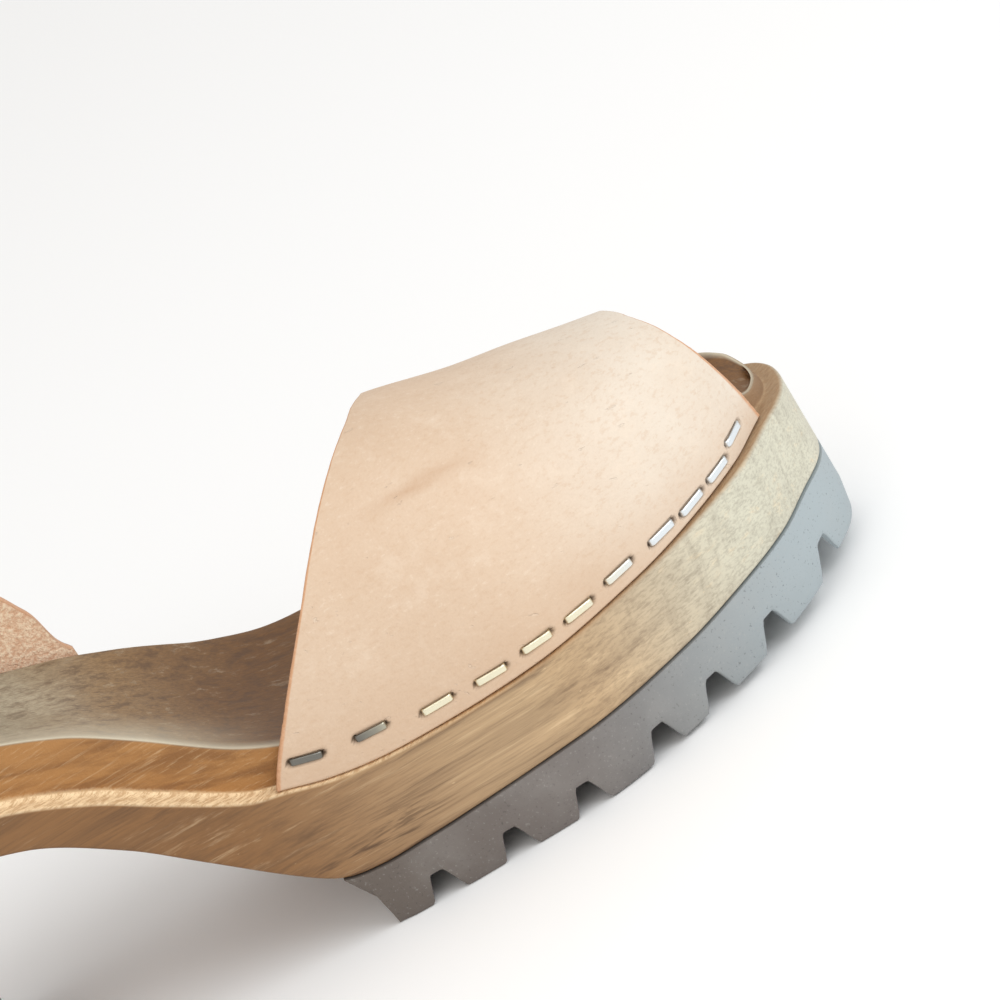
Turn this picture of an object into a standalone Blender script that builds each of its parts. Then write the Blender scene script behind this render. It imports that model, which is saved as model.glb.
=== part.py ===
"""Open-toe clog, right shoe: a carved wooden sole with a high heel, rubber lug pieces under
forefoot and heel, and two stapled pieces of thick leather, the vamp and the heel quarter.

Metres, +Z up, toe towards +X, inner (medial) side towards +Y. The origin lies on the floor
under the middle of the shoe's box.
"""
import math
from collections import namedtuple

import bmesh
import bpy
from mathutils import Vector

# Plan
LENGTH = 0.250
BALL_WIDTH = 0.085
TOE_CAP = 0.060
TOE_FULLNESS = 2.2
HEEL_CAP = 0.031

# Heights
TREAD = 0.0165
WOOD_SIDE = 0.020
REBATE = 0.0090
HEEL_RISE = 0.0475
TOE_SPRING = 0.0060
TOE_ROLL = 0.0016
HEEL_DIP = 0.0050
DISH = 0.0035

# Heel
BREAST = 0.0385
BREAST_RUN = 0.0135
HEEL_TAPER = 0.0045
HEEL_TREAD = 0.012

# Leather
LEATHER = 0.0028
STRIP = 0.0016
FLUSH = 0.0005
VAMP_HEIGHT = 0.0565
VAMP_FULLNESS = 2.25
QUARTER_HEIGHT = 0.058
QUARTER_LEAN = 0.006

# Rubber
OUTSOLE_START = 0.1130
OUTSOLE_RAKE = 0.0048
GROOVE_DEPTH = 0.0072
GROOVE_TOP = 0.0028
GROOVE_BOTTOM = 0.0086
GROOVE_OVERRUN = 0.0120
RUBBER_TUCK = 0.0010

# Staples
CROWN = 0.0074
WIRE_WIDTH = 0.0016
WIRE = 0.0007
LEG = 0.0078
PROUD = 0.0003
STAPLE_HEIGHT = 0.0046
INNER_STAPLES = 9
QUARTER_STAPLES = 12
QUARTER_MARGIN = 0.045

# Fit
GAP = 0.0003
SEAT_GAP = 0.0004
EDGE_ROUND = 0.0007

# Colours
WOOD_COLOUR = (0.42, 0.27, 0.15)
RUBBER_COLOUR = (0.23, 0.24, 0.24)
LEATHER_COLOUR = (0.85, 0.65, 0.48)
WIRE_COLOUR = (0.62, 0.62, 0.60)
CUTTER_COLOUR = (0.1, 0.1, 0.1)

Plan = namedtuple("Plan", "along centre half")
Level = namedtuple("Level", "along rise spring side rebate cove lean")
Arch = namedtuple("Arch", "turn rear front")
Crest = namedtuple("Crest", "along height")
Top = namedtuple("Top", "way height")
Groove = namedtuple("Groove", "along turn")
Staple = namedtuple("Staple", "way height")

# Shares of the length, and of the ball width for the centre line and the half width.
PLAN = (
    Plan(0.000, -0.012, 0.365),
    Plan(0.130, -0.012, 0.366),
    Plan(0.300, -0.004, 0.363),
    Plan(0.432, -0.001, 0.405),
    Plan(0.500, -0.004, 0.420),
    Plan(0.568, 0.012, 0.447),
    Plan(0.692, 0.055, 0.486),
    Plan(0.790, 0.104, 0.460),
    Plan(0.868, 0.120, 0.423),
    Plan(0.932, 0.150, 0.405),
    Plan(0.970, 0.185, 0.362),
    Plan(1.000, 0.205, 0.380),
)

# Shares of the length, heel rise, toe spring, wood side, rebate, and of the rebate for cove and lean.
LEVELS = (
    Level(0.000, 1.000, 0.00, 0.60, 1.25, 0.33, 0.16),
    Level(0.132, 0.885, 0.00, 0.56, 1.30, 0.33, 0.16),
    Level(0.242, 0.700, 0.00, 0.52, 1.48, 0.36, 0.18),
    Level(0.312, 0.510, 0.00, 0.68, 1.58, 0.36, 0.18),
    Level(0.360, 0.340, 0.00, 0.83, 1.56, 0.32, 0.16),
    Level(0.420, 0.150, 0.00, 1.06, 1.34, 0.20, 0.10),
    Level(0.452, 0.106, 0.00, 1.24, 1.10, 0.09, 0.05),
    Level(0.488, 0.052, 0.00, 1.19, 1.00, 0.06, 0.03),
    Level(0.532, 0.015, 0.00, 1.09, 0.96, 0.06, 0.03),
    Level(0.592, 0.000, 0.00, 1.02, 0.94, 0.06, 0.03),
    Level(0.668, 0.000, 0.03, 0.98, 0.92, 0.06, 0.03),
    Level(0.748, 0.000, 0.13, 0.99, 0.90, 0.06, 0.03),
    Level(0.812, 0.000, 0.32, 0.99, 0.88, 0.06, 0.03),
    Level(0.864, 0.000, 0.53, 0.97, 0.90, 0.08, 0.04),
    Level(0.920, 0.000, 0.76, 0.96, 0.94, 0.12, 0.05),
    Level(0.968, 0.000, 0.84, 0.95, 0.84, 0.14, 0.05),
    Level(1.000, 0.000, 0.84, 0.95, 0.40, 0.14, 0.05),
)

# The vamp's rear and front edge, as shares of the length, from the outer foot over to the inner foot.
VAMP_EDGES = (
    Arch(0.00, 0.447, 0.972),
    Arch(0.10, 0.502, 0.966),
    Arch(0.20, 0.554, 0.958),
    Arch(0.30, 0.597, 0.947),
    Arch(0.40, 0.633, 0.932),
    Arch(0.50, 0.661, 0.913),
    Arch(0.60, 0.676, 0.897),
    Arch(0.75, 0.655, 0.893),
    Arch(0.90, 0.590, 0.908),
    Arch(1.00, 0.500, 0.920),
)

# The height of the vamp's crest over the ledge, as a share of its height at the rear edge.
CREST = (
    Crest(0.440, 1.17),
    Crest(0.560, 1.09),
    Crest(0.680, 0.95),
    Crest(0.760, 0.81),
    Crest(0.830, 0.71),
    Crest(0.900, 0.61),
    Crest(0.970, 0.50),
)

# The heel quarter's top edge: share of the way round from the inner to the outer end, share of its height.
QUARTER_TOP = (
    Top(0.000, 0.19),
    Top(0.012, 0.24),
    Top(0.018, 0.35),
    Top(0.028, 0.41),
    Top(0.040, 0.47),
    Top(0.100, 0.64),
    Top(0.200, 0.80),
    Top(0.350, 0.94),
    Top(0.500, 1.00),
    Top(0.650, 0.94),
    Top(0.800, 0.80),
    Top(0.900, 0.64),
    Top(0.960, 0.47),
    Top(0.982, 0.35),
    Top(1.000, 0.22),
)
QUARTER_INNER = 0.336
QUARTER_OUTER = 0.222

# The vamp's staples on the outer foot: share of the way from its rear to its front corner, and
# their height as a share of the usual one.
OUTER_STAPLES = (
    Staple(0.070, 1.37),
    Staple(0.181, 1.40),
    Staple(0.295, 0.98),
    Staple(0.394, 0.83),
    Staple(0.485, 0.87),
    Staple(0.569, 0.74),
    Staple(0.656, 0.86),
    Staple(0.749, 0.72),
    Staple(0.818, 0.57),
    Staple(0.886, 0.57),
    Staple(0.944, 0.96),
)

# The grooves between the lugs: share of the length at the outer side, and degrees that each turns in plan.
GROOVES = (
    Groove(0.522, 3.0),
    Groove(0.594, 3.0),
    Groove(0.667, 3.0),
    Groove(0.746, 2.0),
    Groove(0.808, 0.0),
    Groove(0.877, -3.0),
    Groove(0.950, -8.0),
)
HEEL_GROOVES = (Groove(0.054, 0.0),)

CAP_STEPS = 11
MIDDLE_STEPS = 22
BREAST_STEPS = 5
DISH_STEPS = 6
WALL_STEPS = 3
VAMP_ACROSS = 30
VAMP_ALONG = 12
QUARTER_AROUND = 36
QUARTER_UP = 5


def smooth(rows, column, along):
    """Read a column of a table at a share along it, with a smooth cubic between the rows."""
    last = len(rows) - 1
    low = 0
    while low < last - 1 and rows[low + 1][0] < along:
        low += 1
    here, there = rows[low], rows[low + 1]
    span = there[0] - here[0]
    part = min(max((along - here[0]) / span, 0.0), 1.0)
    index = here._fields.index(column)

    def slope(row):
        before, after = rows[max(row - 1, 0)], rows[min(row + 1, last)]
        return (after[index] - before[index]) / (after[0] - before[0]) * span

    rise, run = slope(low), slope(low + 1)
    start, end = here[index], there[index]
    return (
        start * (1 + 2 * part) * (1 - part) ** 2
        + rise * part * (1 - part) ** 2
        + end * part ** 2 * (3 - 2 * part)
        + run * part ** 2 * (part - 1)
    )


def blend(low, high, value):
    """Go softly from 0 at low to 1 at high."""
    part = min(max((value - low) / (high - low), 0.0), 1.0)
    return part * part * (3 - 2 * part)


def cap_share(x):
    """Give the round of the heel and the toe as a share of the half width."""
    if x < HEEL_CAP:
        return math.sqrt(max(1 - ((HEEL_CAP - x) / HEEL_CAP) ** 2, 0.0))
    if x > LENGTH - TOE_CAP:
        reach = (x - LENGTH + TOE_CAP) / TOE_CAP
        return max(1 - reach ** TOE_FULLNESS, 0.0) ** (1 / TOE_FULLNESS)
    return 1.0


def side_point(x, side):
    """Give the outline's point at x, measured from the back of the heel; side is -1 outer, 1 inner."""
    along = x / LENGTH
    centre = smooth(PLAN, "centre", along) * BALL_WIDTH
    half = smooth(PLAN, "half", along) * BALL_WIDTH * cap_share(x)
    return Vector((x, centre + side * half, 0.0))


def outward(x, side):
    """Give the outline's outward direction in plan at x on one side."""
    if x <= 0.0:
        return Vector((-1.0, 0.0, 0.0))
    if x >= LENGTH:
        return Vector((1.0, 0.0, 0.0))
    reach = min(LENGTH * 0.002, x, LENGTH - x)
    run = side_point(x + reach, side) - side_point(x - reach, side)
    return Vector((-run.y * side, run.x * side, 0.0)).normalized()


def inset_point(x, side, inset):
    """Give the outline's point at x, moved into the shoe by inset."""
    return side_point(x, side) - outward(x, side) * inset


def ledge(x):
    """Height of the ledge that carries the leather's lower edge."""
    along = x / LENGTH
    rise = smooth(LEVELS, "rise", along) * HEEL_RISE
    spring = smooth(LEVELS, "spring", along) * TOE_SPRING
    return TREAD + WOOD_SIDE + rise + spring


def footbed_edge(x, side):
    """Height of the footbed's edge: its inner side is higher at the toe and lower at the heel."""
    along = x / LENGTH
    roll = TOE_ROLL * blend(0.90, 0.96, along) * (1 - blend(0.985, 1.0, along))
    dip = HEEL_DIP * blend(0.06, 0.24, along) * (1 - blend(0.25, 0.42, along)) * (1 + side) / 2
    return ledge(x) + smooth(LEVELS, "rebate", along) * REBATE + roll * side - dip


def wood_bottom(x):
    """Height of the wood's lower edge: forefoot, arch and, behind the breast, the heel's base."""
    arch = ledge(x) - smooth(LEVELS, "side", x / LENGTH) * WOOD_SIDE
    heel_base = HEEL_TREAD + GAP
    return heel_base + (arch - heel_base) * blend(BREAST - BREAST_RUN, BREAST + BREAST_RUN, x)


def tread_bottom(x):
    """Height of the lugs' lower faces: flat on the floor, with the toe spring in front."""
    return max(smooth(LEVELS, "spring", x / LENGTH), 0.0) * TOE_SPRING


def heel_taper(x):
    """How far the heel's base lies inside the outline."""
    return HEEL_TAPER * (1 - blend(BREAST - BREAST_RUN, BREAST + BREAST_RUN, x))


def strip(x):
    """Width of ledge left bare outside the leather."""
    along = x / LENGTH
    return FLUSH + STRIP * blend(0.80, 0.95, along) * (1 - blend(0.972, 1.0, along))


def rebate_inset(x):
    """How far the foot of the rebate's wall lies inside the outline."""
    return strip(x) + LEATHER + SEAT_GAP


def stations():
    """List the x of the columns from the back of the heel to the tip of the toe."""
    heel = [HEEL_CAP * (1 - math.cos(math.pi / 2 * i / CAP_STEPS)) for i in range(CAP_STEPS)]
    toe_start = LENGTH - TOE_CAP
    toe = [toe_start + TOE_CAP * math.sin(math.pi / 2 * i / CAP_STEPS) for i in range(CAP_STEPS + 1)]
    high = BREAST + BREAST_RUN
    breast = [HEEL_CAP + (high - HEEL_CAP) * i / BREAST_STEPS for i in range(BREAST_STEPS + 1)]
    middle = [high + (toe_start - high) * i / MIDDLE_STEPS for i in range(1, MIDDLE_STEPS)]
    return heel + breast + middle + toe


def shift(point):
    """Move a point measured from the heel to the part's own frame."""
    return Vector((point.x - LENGTH / 2, point.y - MIDDLE, point.z))


def plan_middle():
    """Give the middle of the outline's widest points on both sides."""
    xs = stations()
    low = min(side_point(x, -1).y for x in xs)
    high = max(side_point(x, 1).y for x in xs)
    return (low + high) / 2


MIDDLE = plan_middle()


def ring(xs, inset, height):
    """Give a closed loop of points round the outline: outer side forward, inner side back."""
    points = []
    for x, side in [(x, -1) for x in xs] + [(x, 1) for x in reversed(xs[1:-1])]:
        point = inset_point(x, side, inset(x))
        point.z = height(x, side)
        points.append(shift(point))
    return points


def new_object(name, mesh_maker, colour, roughness, metallic=0.0):
    """Make a named object from a bmesh and give it its own material."""
    mesh = bpy.data.meshes.new(name)
    mesh_maker.to_mesh(mesh)
    mesh_maker.free()
    obj = bpy.data.objects.new(name, mesh)
    bpy.context.scene.collection.objects.link(obj)
    material = bpy.data.materials.new(name)
    material.use_nodes = True
    shader = material.node_tree.nodes["Principled BSDF"]
    shader.inputs["Base Color"].default_value = (*colour, 1.0)
    shader.inputs["Roughness"].default_value = roughness
    shader.inputs["Metallic"].default_value = metallic
    mesh.materials.append(material)
    return obj


def join_loops(bm, loops):
    """Skin a stack of closed loops that have equal counts, and return their vertices."""
    rows = [[bm.verts.new(point) for point in loop] for loop in loops]
    for lower, upper in zip(rows, rows[1:]):
        count = len(lower)
        for i in range(count):
            j = (i + 1) % count
            bm.faces.new((lower[i], lower[j], upper[j], upper[i]))
    return rows


def close_ring(bm, row, steps, height=None):
    """Fill a ring that has a pole at heel and toe, from side to side in a number of steps."""
    count = len(row)
    middle = count // 2
    lines = []
    for i in range(1, middle):
        outer, inner = row[i], row[count - i]
        line = [outer]
        for step in range(1, steps):
            part = step / steps
            point = outer.co.lerp(inner.co, part)
            point.z = height(point.x + LENGTH / 2, point.z, part)
            line.append(bm.verts.new(point))
        lines.append(line + [inner])
    for near, far in zip(lines, lines[1:]):
        for i in range(steps):
            bm.faces.new((near[i], near[i + 1], far[i + 1], far[i]))
    for pole, line in ((row[0], lines[0]), (row[middle], lines[-1])):
        for i in range(steps):
            bm.faces.new((pole, line[i], line[i + 1]))


def finish(bm):
    """Point all faces outwards."""
    bmesh.ops.recalc_face_normals(bm, faces=bm.faces)
    return bm


def round_off(obj, angle=35.0):
    """Shade a piece smooth, with its edges kept sharp."""
    obj.data.shade_smooth()
    obj.data.set_sharp_from_angle(angle=math.radians(angle))
    return obj


def cut(obj, cutter):
    """Take a cutter's shape out of a piece."""
    cutter.hide_render = True
    cutter.display_type = "WIRE"
    boolean = obj.modifiers.new(cutter.name, "BOOLEAN")
    boolean.operation = "DIFFERENCE"
    boolean.object = cutter
    boolean.use_self = True


def dish_height(x, edge_height, part):
    """Hollow the footbed between its edges, less at the toe."""
    depth = DISH * (1 - 0.5 * blend(0.80 * LENGTH, LENGTH, x))
    return edge_height - depth * (1 - (2 * part - 1) ** 2)


def make_wood_sole():
    """Carve the sole in one piece: heel, arch, side, rebate and hollowed footbed."""
    xs = stations()

    def wall(step):
        part = step / WALL_STEPS
        return (
            lambda x: heel_taper(x) * (1 - part) ** 1.5,
            lambda x, side: wood_bottom(x) + (ledge(x) - EDGE_ROUND - wood_bottom(x)) * part,
        )

    def cove(x):
        return smooth(LEVELS, "cove", x / LENGTH) * REBATE

    def lean(x):
        return smooth(LEVELS, "lean", x / LENGTH) * REBATE

    def top(x):
        return rebate_inset(x) + cove(x) * 0.6 + lean(x)

    profile = [wall(step) for step in range(WALL_STEPS + 1)]
    profile += [
        (lambda x: EDGE_ROUND * 0.7, lambda x, side: ledge(x)),
        (rebate_inset, lambda x, side: ledge(x)),
        (lambda x: rebate_inset(x) + cove(x) * 0.35, lambda x, side: ledge(x) + cove(x) * 0.3),
        (lambda x: rebate_inset(x) + cove(x) * 0.6, lambda x, side: ledge(x) + cove(x)),
        (top, lambda x, side: footbed_edge(x, side) - EDGE_ROUND),
        (lambda x: top(x) + EDGE_ROUND, footbed_edge),
    ]
    bm = bmesh.new()
    rows = join_loops(bm, [ring(xs, inset, height) for inset, height in profile])
    close_ring(bm, rows[-1], DISH_STEPS, dish_height)
    close_ring(bm, rows[0], 1)
    return round_off(new_object("wood_sole", finish(bm), WOOD_COLOUR, 0.6))


def groove_cutter(name, grooves):
    """Make the bars that cut the grooves across a rubber piece, turned about its outer side."""
    bm = bmesh.new()
    for groove in grooves:
        x = groove.along * LENGTH
        low = -GROOVE_DEPTH / 2
        floor = tread_bottom(x) + GROOVE_DEPTH
        half_top = GROOVE_TOP / 2
        half_low = half_top + (GROOVE_BOTTOM - GROOVE_TOP) / 2 / GROOVE_DEPTH * (floor - low)
        section = ((-half_low, low), (half_low, low), (half_top, floor), (-half_top, floor))
        start = side_point(x, -1).y
        slant = math.tan(math.radians(groove.turn))
        ends = []
        for y in (start - GROOVE_OVERRUN, side_point(x, 1).y + GROOVE_OVERRUN):
            ends.append([
                bm.verts.new(shift(Vector((x + dx + (y - start) * slant, y, z)))) for dx, z in section
            ])
        for i in range(len(section)):
            j = (i + 1) % len(section)
            bm.faces.new((ends[0][i], ends[0][j], ends[1][j], ends[1][i]))
        bm.faces.new(reversed(ends[0]))
        bm.faces.new(ends[1])
    return new_object(name, finish(bm), CUTTER_COLOUR, 0.5)


def make_forefoot_outsole():
    """Mould the forefoot's rubber piece: a slab under the wood with lugs to the floor."""
    xs = [x for x in stations() if x > OUTSOLE_START + OUTSOLE_RAKE + 0.002]
    xs.insert(0, OUTSOLE_START)
    profile = [
        (OUTSOLE_RAKE, RUBBER_TUCK, tread_bottom),
        (OUTSOLE_RAKE, 0.0, lambda x: tread_bottom(x) + GROOVE_DEPTH),
        (OUTSOLE_RAKE * 0.6, 0.0, lambda x: tread_bottom(x) + GROOVE_DEPTH * 1.6),
        (0.0, 0.0, lambda x: wood_bottom(x) - GAP),
    ]
    bm = bmesh.new()
    loops = [open_ring(xs, rake, inset, height) for rake, inset, height in profile]
    rows = join_loops(bm, loops)
    for row in (rows[0], rows[-1]):
        close_open_ring(bm, row)
    outsole = new_object("forefoot_outsole", finish(bm), RUBBER_COLOUR, 0.85)
    cut(outsole, groove_cutter("lug_grooves", GROOVES))
    return outsole


def open_ring(xs, rake, inset, height):
    """Give a loop that starts square, raked forward, at the first station and goes round the toe."""
    points = []
    for x, side in [(x, -1) for x in xs] + [(x, 1) for x in reversed(xs[:-1])]:
        point = inset_point(x, side, inset)
        if x == xs[0]:
            point.x = x + rake
        point.z = height(x)
        points.append(shift(point))
    return points


def close_open_ring(bm, row):
    """Fill a ring that has a square end and a toe pole with strips from side to side."""
    count = len(row)
    middle = count // 2
    for i in range(middle - 1):
        bm.faces.new((row[i], row[i + 1], row[count - 2 - i], row[count - 1 - i]))
    bm.faces.new((row[middle - 1], row[middle], row[middle + 1]))


def make_heel_outsole():
    """Mould the heel's rubber piece, with its own lugs."""
    front = BREAST - BREAST_RUN
    widest = HEEL_TAPER + RUBBER_TUCK
    xs = [x for x in stations() if inset_point(x, 1, widest).x < front - widest / 2] + [front]
    points = []
    for height, tuck in ((0.0, RUBBER_TUCK), (HEEL_TREAD, 0.0)):
        loop = []
        order = [(x, -1) for x in reversed(xs)] + [(x, 1) for x in xs[1:]]
        for x, side in order:
            point = inset_point(x, side, HEEL_TAPER + tuck)
            if x == front:
                point.x = x
            point.z = height
            loop.append(shift(point))
        points.append(loop)
    bm = bmesh.new()
    for row in join_loops(bm, points):
        close_open_ring(bm, row)
    heel = new_object("heel_outsole", finish(bm), RUBBER_COLOUR, 0.85)
    cut(heel, groove_cutter("heel_grooves", HEEL_GROOVES))
    return heel


def vamp_surface(turn, x, depth):
    """Give the vamp's point at a turn from the outer to the inner foot and at a station x."""
    angle = math.pi * turn
    across = math.copysign(abs(math.cos(angle)) ** (2 / VAMP_FULLNESS), math.cos(angle))
    up = math.sin(angle) ** (2 / VAMP_FULLNESS) if 0.0 < turn < 1.0 else 0.0
    outer = inset_point(x, -1, strip(x) + depth)
    inner = inset_point(x, 1, strip(x) + depth)
    point = outer.lerp(inner, (1 - across) / 2)
    crest = smooth(CREST, "height", x / LENGTH) * VAMP_HEIGHT - depth
    point.z = ledge(x) + SEAT_GAP + crest * up
    return shift(point)


def vamp_point(turn, along, depth):
    """Give a point of the vamp between its rear and its front edge."""
    rear = smooth(VAMP_EDGES, "rear", turn)
    front = smooth(VAMP_EDGES, "front", turn)
    return vamp_surface(turn, (rear + (front - rear) * along) * LENGTH, depth)


def sheet(grids):
    """Close two grids of points, the outer and the inner face of a sheet, into one solid."""
    bm = bmesh.new()
    outer, inner = [[[bm.verts.new(point) for point in line] for line in grid] for grid in grids]
    for grid in (outer, inner):
        for near, far in zip(grid, grid[1:]):
            for i in range(len(near) - 1):
                bm.faces.new((near[i], near[i + 1], far[i + 1], far[i]))
    edges = [
        (outer[0], inner[0]),
        (outer[-1], inner[-1]),
        ([line[0] for line in outer], [line[0] for line in inner]),
        ([line[-1] for line in outer], [line[-1] for line in inner]),
    ]
    for near, far in edges:
        for i in range(len(near) - 1):
            bm.faces.new((near[i], near[i + 1], far[i + 1], far[i]))
    return finish(bm)


def vamp_turns():
    """List the turns of the vamp's lines, closer together near the feet."""
    return [0.5 - 0.5 * math.cos(math.pi * i / VAMP_ACROSS) * (0.4 + 0.6 * abs(1 - 2 * i / VAMP_ACROSS))
            for i in range(VAMP_ACROSS + 1)]


def make_vamp():
    """Bend the vamp over the instep, open at the toe, at the rear and underneath."""
    grids = []
    for depth in (0.0, LEATHER):
        grids.append([
            [vamp_point(turn, i / VAMP_ALONG, depth) for i in range(VAMP_ALONG + 1)]
            for turn in vamp_turns()
        ])
    return round_off(new_object("vamp", sheet(grids), LEATHER_COLOUR, 0.55), 60.0)


def quarter_way(step):
    """Space the quarter's lines evenly round the heel and closer at its ends."""
    part = step / QUARTER_AROUND
    return part - math.sin(2 * math.pi * part) / (2 * math.pi) * 0.6


def round_heel(way):
    """Give the station and the side at a share of the way round the heel."""
    inner, outer = QUARTER_INNER * LENGTH, QUARTER_OUTER * LENGTH
    quarter = math.pi / 2 * HEEL_CAP
    lengths = (inner - HEEL_CAP, quarter, quarter, outer - HEEL_CAP)
    travel = way * sum(lengths)
    if travel < lengths[0]:
        return inner - travel, 1
    travel -= lengths[0]
    if travel < lengths[1]:
        return HEEL_CAP * (1 - math.sin(travel / HEEL_CAP)), 1
    travel -= lengths[1]
    if travel < lengths[2]:
        return HEEL_CAP * (1 - math.cos(travel / HEEL_CAP)), -1
    return HEEL_CAP + travel - lengths[2], -1


def quarter_point(way, up, depth):
    """Give a point of the heel quarter at a share of the way round and up."""
    x, side = round_heel(way)
    top = smooth(QUARTER_TOP, "height", way) * QUARTER_HEIGHT
    rise = up * top
    lean = QUARTER_LEAN * (rise / QUARTER_HEIGHT) ** 2
    point = inset_point(x, side, strip(x) + depth + lean)
    point.z = ledge(x) + SEAT_GAP + rise
    return shift(point)


def make_quarter():
    """Wrap the heel quarter round the back, open in front of the heel on both sides."""
    grids = []
    for depth in (0.0, LEATHER):
        grids.append([
            [quarter_point(quarter_way(i), j / QUARTER_UP, depth) for j in range(QUARTER_UP + 1)]
            for i in range(QUARTER_AROUND + 1)
        ])
    return round_off(new_object("heel_quarter", sheet(grids), LEATHER_COLOUR, 0.6), 60.0)


def seat_point(x, side, height=1.0):
    """Give the point of a leather's outer face at a share of the staples' usual height."""
    point = inset_point(x, side, strip(x))
    point.z = ledge(x) + SEAT_GAP + STAPLE_HEIGHT * height
    return shift(point)


def vamp_seats():
    """List the vamp's staples: name, side, and the points at their two ends and in the middle."""
    first, last = OUTER_STAPLES[0].way, OUTER_STAPLES[-1].way
    step = (last - first) / (INNER_STAPLES - 1)
    inner_staples = [Staple(first + step * i, 1.0) for i in range(INNER_STAPLES)]
    feet = (("outer", -1, VAMP_EDGES[0], OUTER_STAPLES), ("inner", 1, VAMP_EDGES[-1], inner_staples))
    seats = []
    for foot, side, ends, staples in feet:
        for number, staple in enumerate(staples, 1):
            x = (ends.rear + (ends.front - ends.rear) * staple.way) * LENGTH
            stops = (x - CROWN / 2, x, x + CROWN / 2)
            points = [seat_point(stop, side, staple.height) for stop in stops]
            seats.append((f"vamp_staple_{foot}_{number:02d}", side, points))
    return seats


def quarter_seats():
    """List the heel quarter's staples in the same way, from the inner end round to the outer end."""
    seats = []
    for number in range(QUARTER_STAPLES):
        way = QUARTER_MARGIN + (1 - 2 * QUARTER_MARGIN) * number / (QUARTER_STAPLES - 1)
        steps = (-QUARTER_MARGIN / 2, 0.0, QUARTER_MARGIN / 2)
        points = [seat_point(*round_heel(way + step)) for step in steps]
        seats.append((f"quarter_staple_{number + 1:02d}", -1, points))
    return seats


def add_staple(bm, side, points, grow):
    """Add a staple's crown and two legs, or with grow the room for it."""
    before, middle, after = points
    along = (after - before).normalized()
    out = along.cross(Vector((0.0, 0.0, 1.0))).normalized() * -side
    up = out.cross(along)
    reach, shank = CROWN / 2 + grow, CROWN / 2 - WIRE - grow
    top, under, tip = PROUD + grow, PROUD - WIRE - grow, PROUD - LEG - grow
    outline = (
        (-reach, top), (-reach, tip), (-shank, tip), (-shank, under),
        (shank, under), (shank, tip), (reach, tip), (reach, top),
    )
    faces = []
    for lift in (-WIRE_WIDTH / 2 - grow, WIRE_WIDTH / 2 + grow):
        faces.append([bm.verts.new(middle + along * a + out * o + up * lift) for a, o in outline])
    lower, upper = faces
    count = len(outline)
    for i in range(count):
        j = (i + 1) % count
        bm.faces.new((lower[i], lower[j], upper[j], upper[i]))
    bm.faces.new(reversed(lower))
    bm.faces.new(upper)


def make_staples(seats, cutter_name):
    """Make each staple as a piece of its own, and one cutter with the room for all of them."""
    room = bmesh.new()
    for name, side, points in seats:
        bm = bmesh.new()
        add_staple(bm, side, points, 0.0)
        new_object(name, finish(bm), WIRE_COLOUR, 0.3, 1.0)
        add_staple(room, side, points, GAP)
    return new_object(cutter_name, finish(room), CUTTER_COLOUR, 0.5)


def build():
    """Build the clog."""
    sole = make_wood_sole()
    make_forefoot_outsole()
    make_heel_outsole()
    vamp = make_vamp()
    quarter = make_quarter()
    vamp_room = make_staples(vamp_seats(), "vamp_staple_room")
    quarter_room = make_staples(quarter_seats(), "quarter_staple_room")
    cut(vamp, vamp_room)
    cut(sole, vamp_room)
    cut(quarter, quarter_room)
    cut(sole, quarter_room)


for old in list(bpy.data.objects):
    bpy.data.objects.remove(old, do_unlink=True)
build()
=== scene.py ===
"""The open-toe clog, dressed for its photograph.

A carved wooden sole on rubber lug pieces, with two pieces of thick leather, the vamp and the heel
quarter, held by flat-wire staples. Metres, +Z up, toe towards +X, inner side towards +Y. In the
shoe's own classes x runs from the back of the heel, and SHIFT moves a point to the frame.
"""
from __future__ import annotations

import logging
import math
import random
from collections.abc import Callable, Sequence
from dataclasses import dataclass
from enum import Enum
from typing import Any, NamedTuple

import bmesh
import bpy
from mathutils import Matrix, Vector, noise

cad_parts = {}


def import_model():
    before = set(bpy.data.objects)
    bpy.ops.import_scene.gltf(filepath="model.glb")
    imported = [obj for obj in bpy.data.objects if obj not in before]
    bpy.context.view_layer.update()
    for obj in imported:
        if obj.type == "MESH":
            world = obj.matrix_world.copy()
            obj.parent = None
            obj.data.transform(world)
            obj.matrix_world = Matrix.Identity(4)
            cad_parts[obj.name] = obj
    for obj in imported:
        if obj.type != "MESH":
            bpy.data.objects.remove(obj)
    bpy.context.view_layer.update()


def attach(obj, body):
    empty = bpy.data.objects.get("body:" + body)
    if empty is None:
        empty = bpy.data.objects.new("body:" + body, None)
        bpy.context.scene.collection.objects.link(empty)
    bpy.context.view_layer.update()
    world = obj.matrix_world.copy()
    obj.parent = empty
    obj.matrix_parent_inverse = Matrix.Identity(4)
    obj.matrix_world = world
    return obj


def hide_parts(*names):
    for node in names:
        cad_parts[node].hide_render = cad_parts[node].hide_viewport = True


LOG = logging.getLogger("clog")
Colour = tuple[float, float, float]
Stop = tuple[float, Colour]


def paint(red: int, green: int, blue: int) -> Colour:
    """Turn a colour as seen on a screen, 0 to 255, into the shader's linear one.

    Args:
        red: Red as seen.
        green: Green as seen.
        blue: Blue as seen.

    Returns:
        The linear colour.
    """
    shares = [value / 255 for value in (red, green, blue)]
    linear = [s / 12.92 if s <= 0.04045 else ((s + 0.055) / 1.055) ** 2.4 for s in shares]
    return linear[0], linear[1], linear[2]


def ease(low: float, high: float, value: float) -> float:
    """Go softly from 0 at low to 1 at high.

    Args:
        low: Where it is still 0.
        high: Where it reaches 1.
        value: Where it is read.

    Returns:
        A number from 0 to 1.
    """
    part = min(max((value - low) / (high - low), 0.0), 1.0)
    return part * part * (3 - 2 * part)


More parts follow.
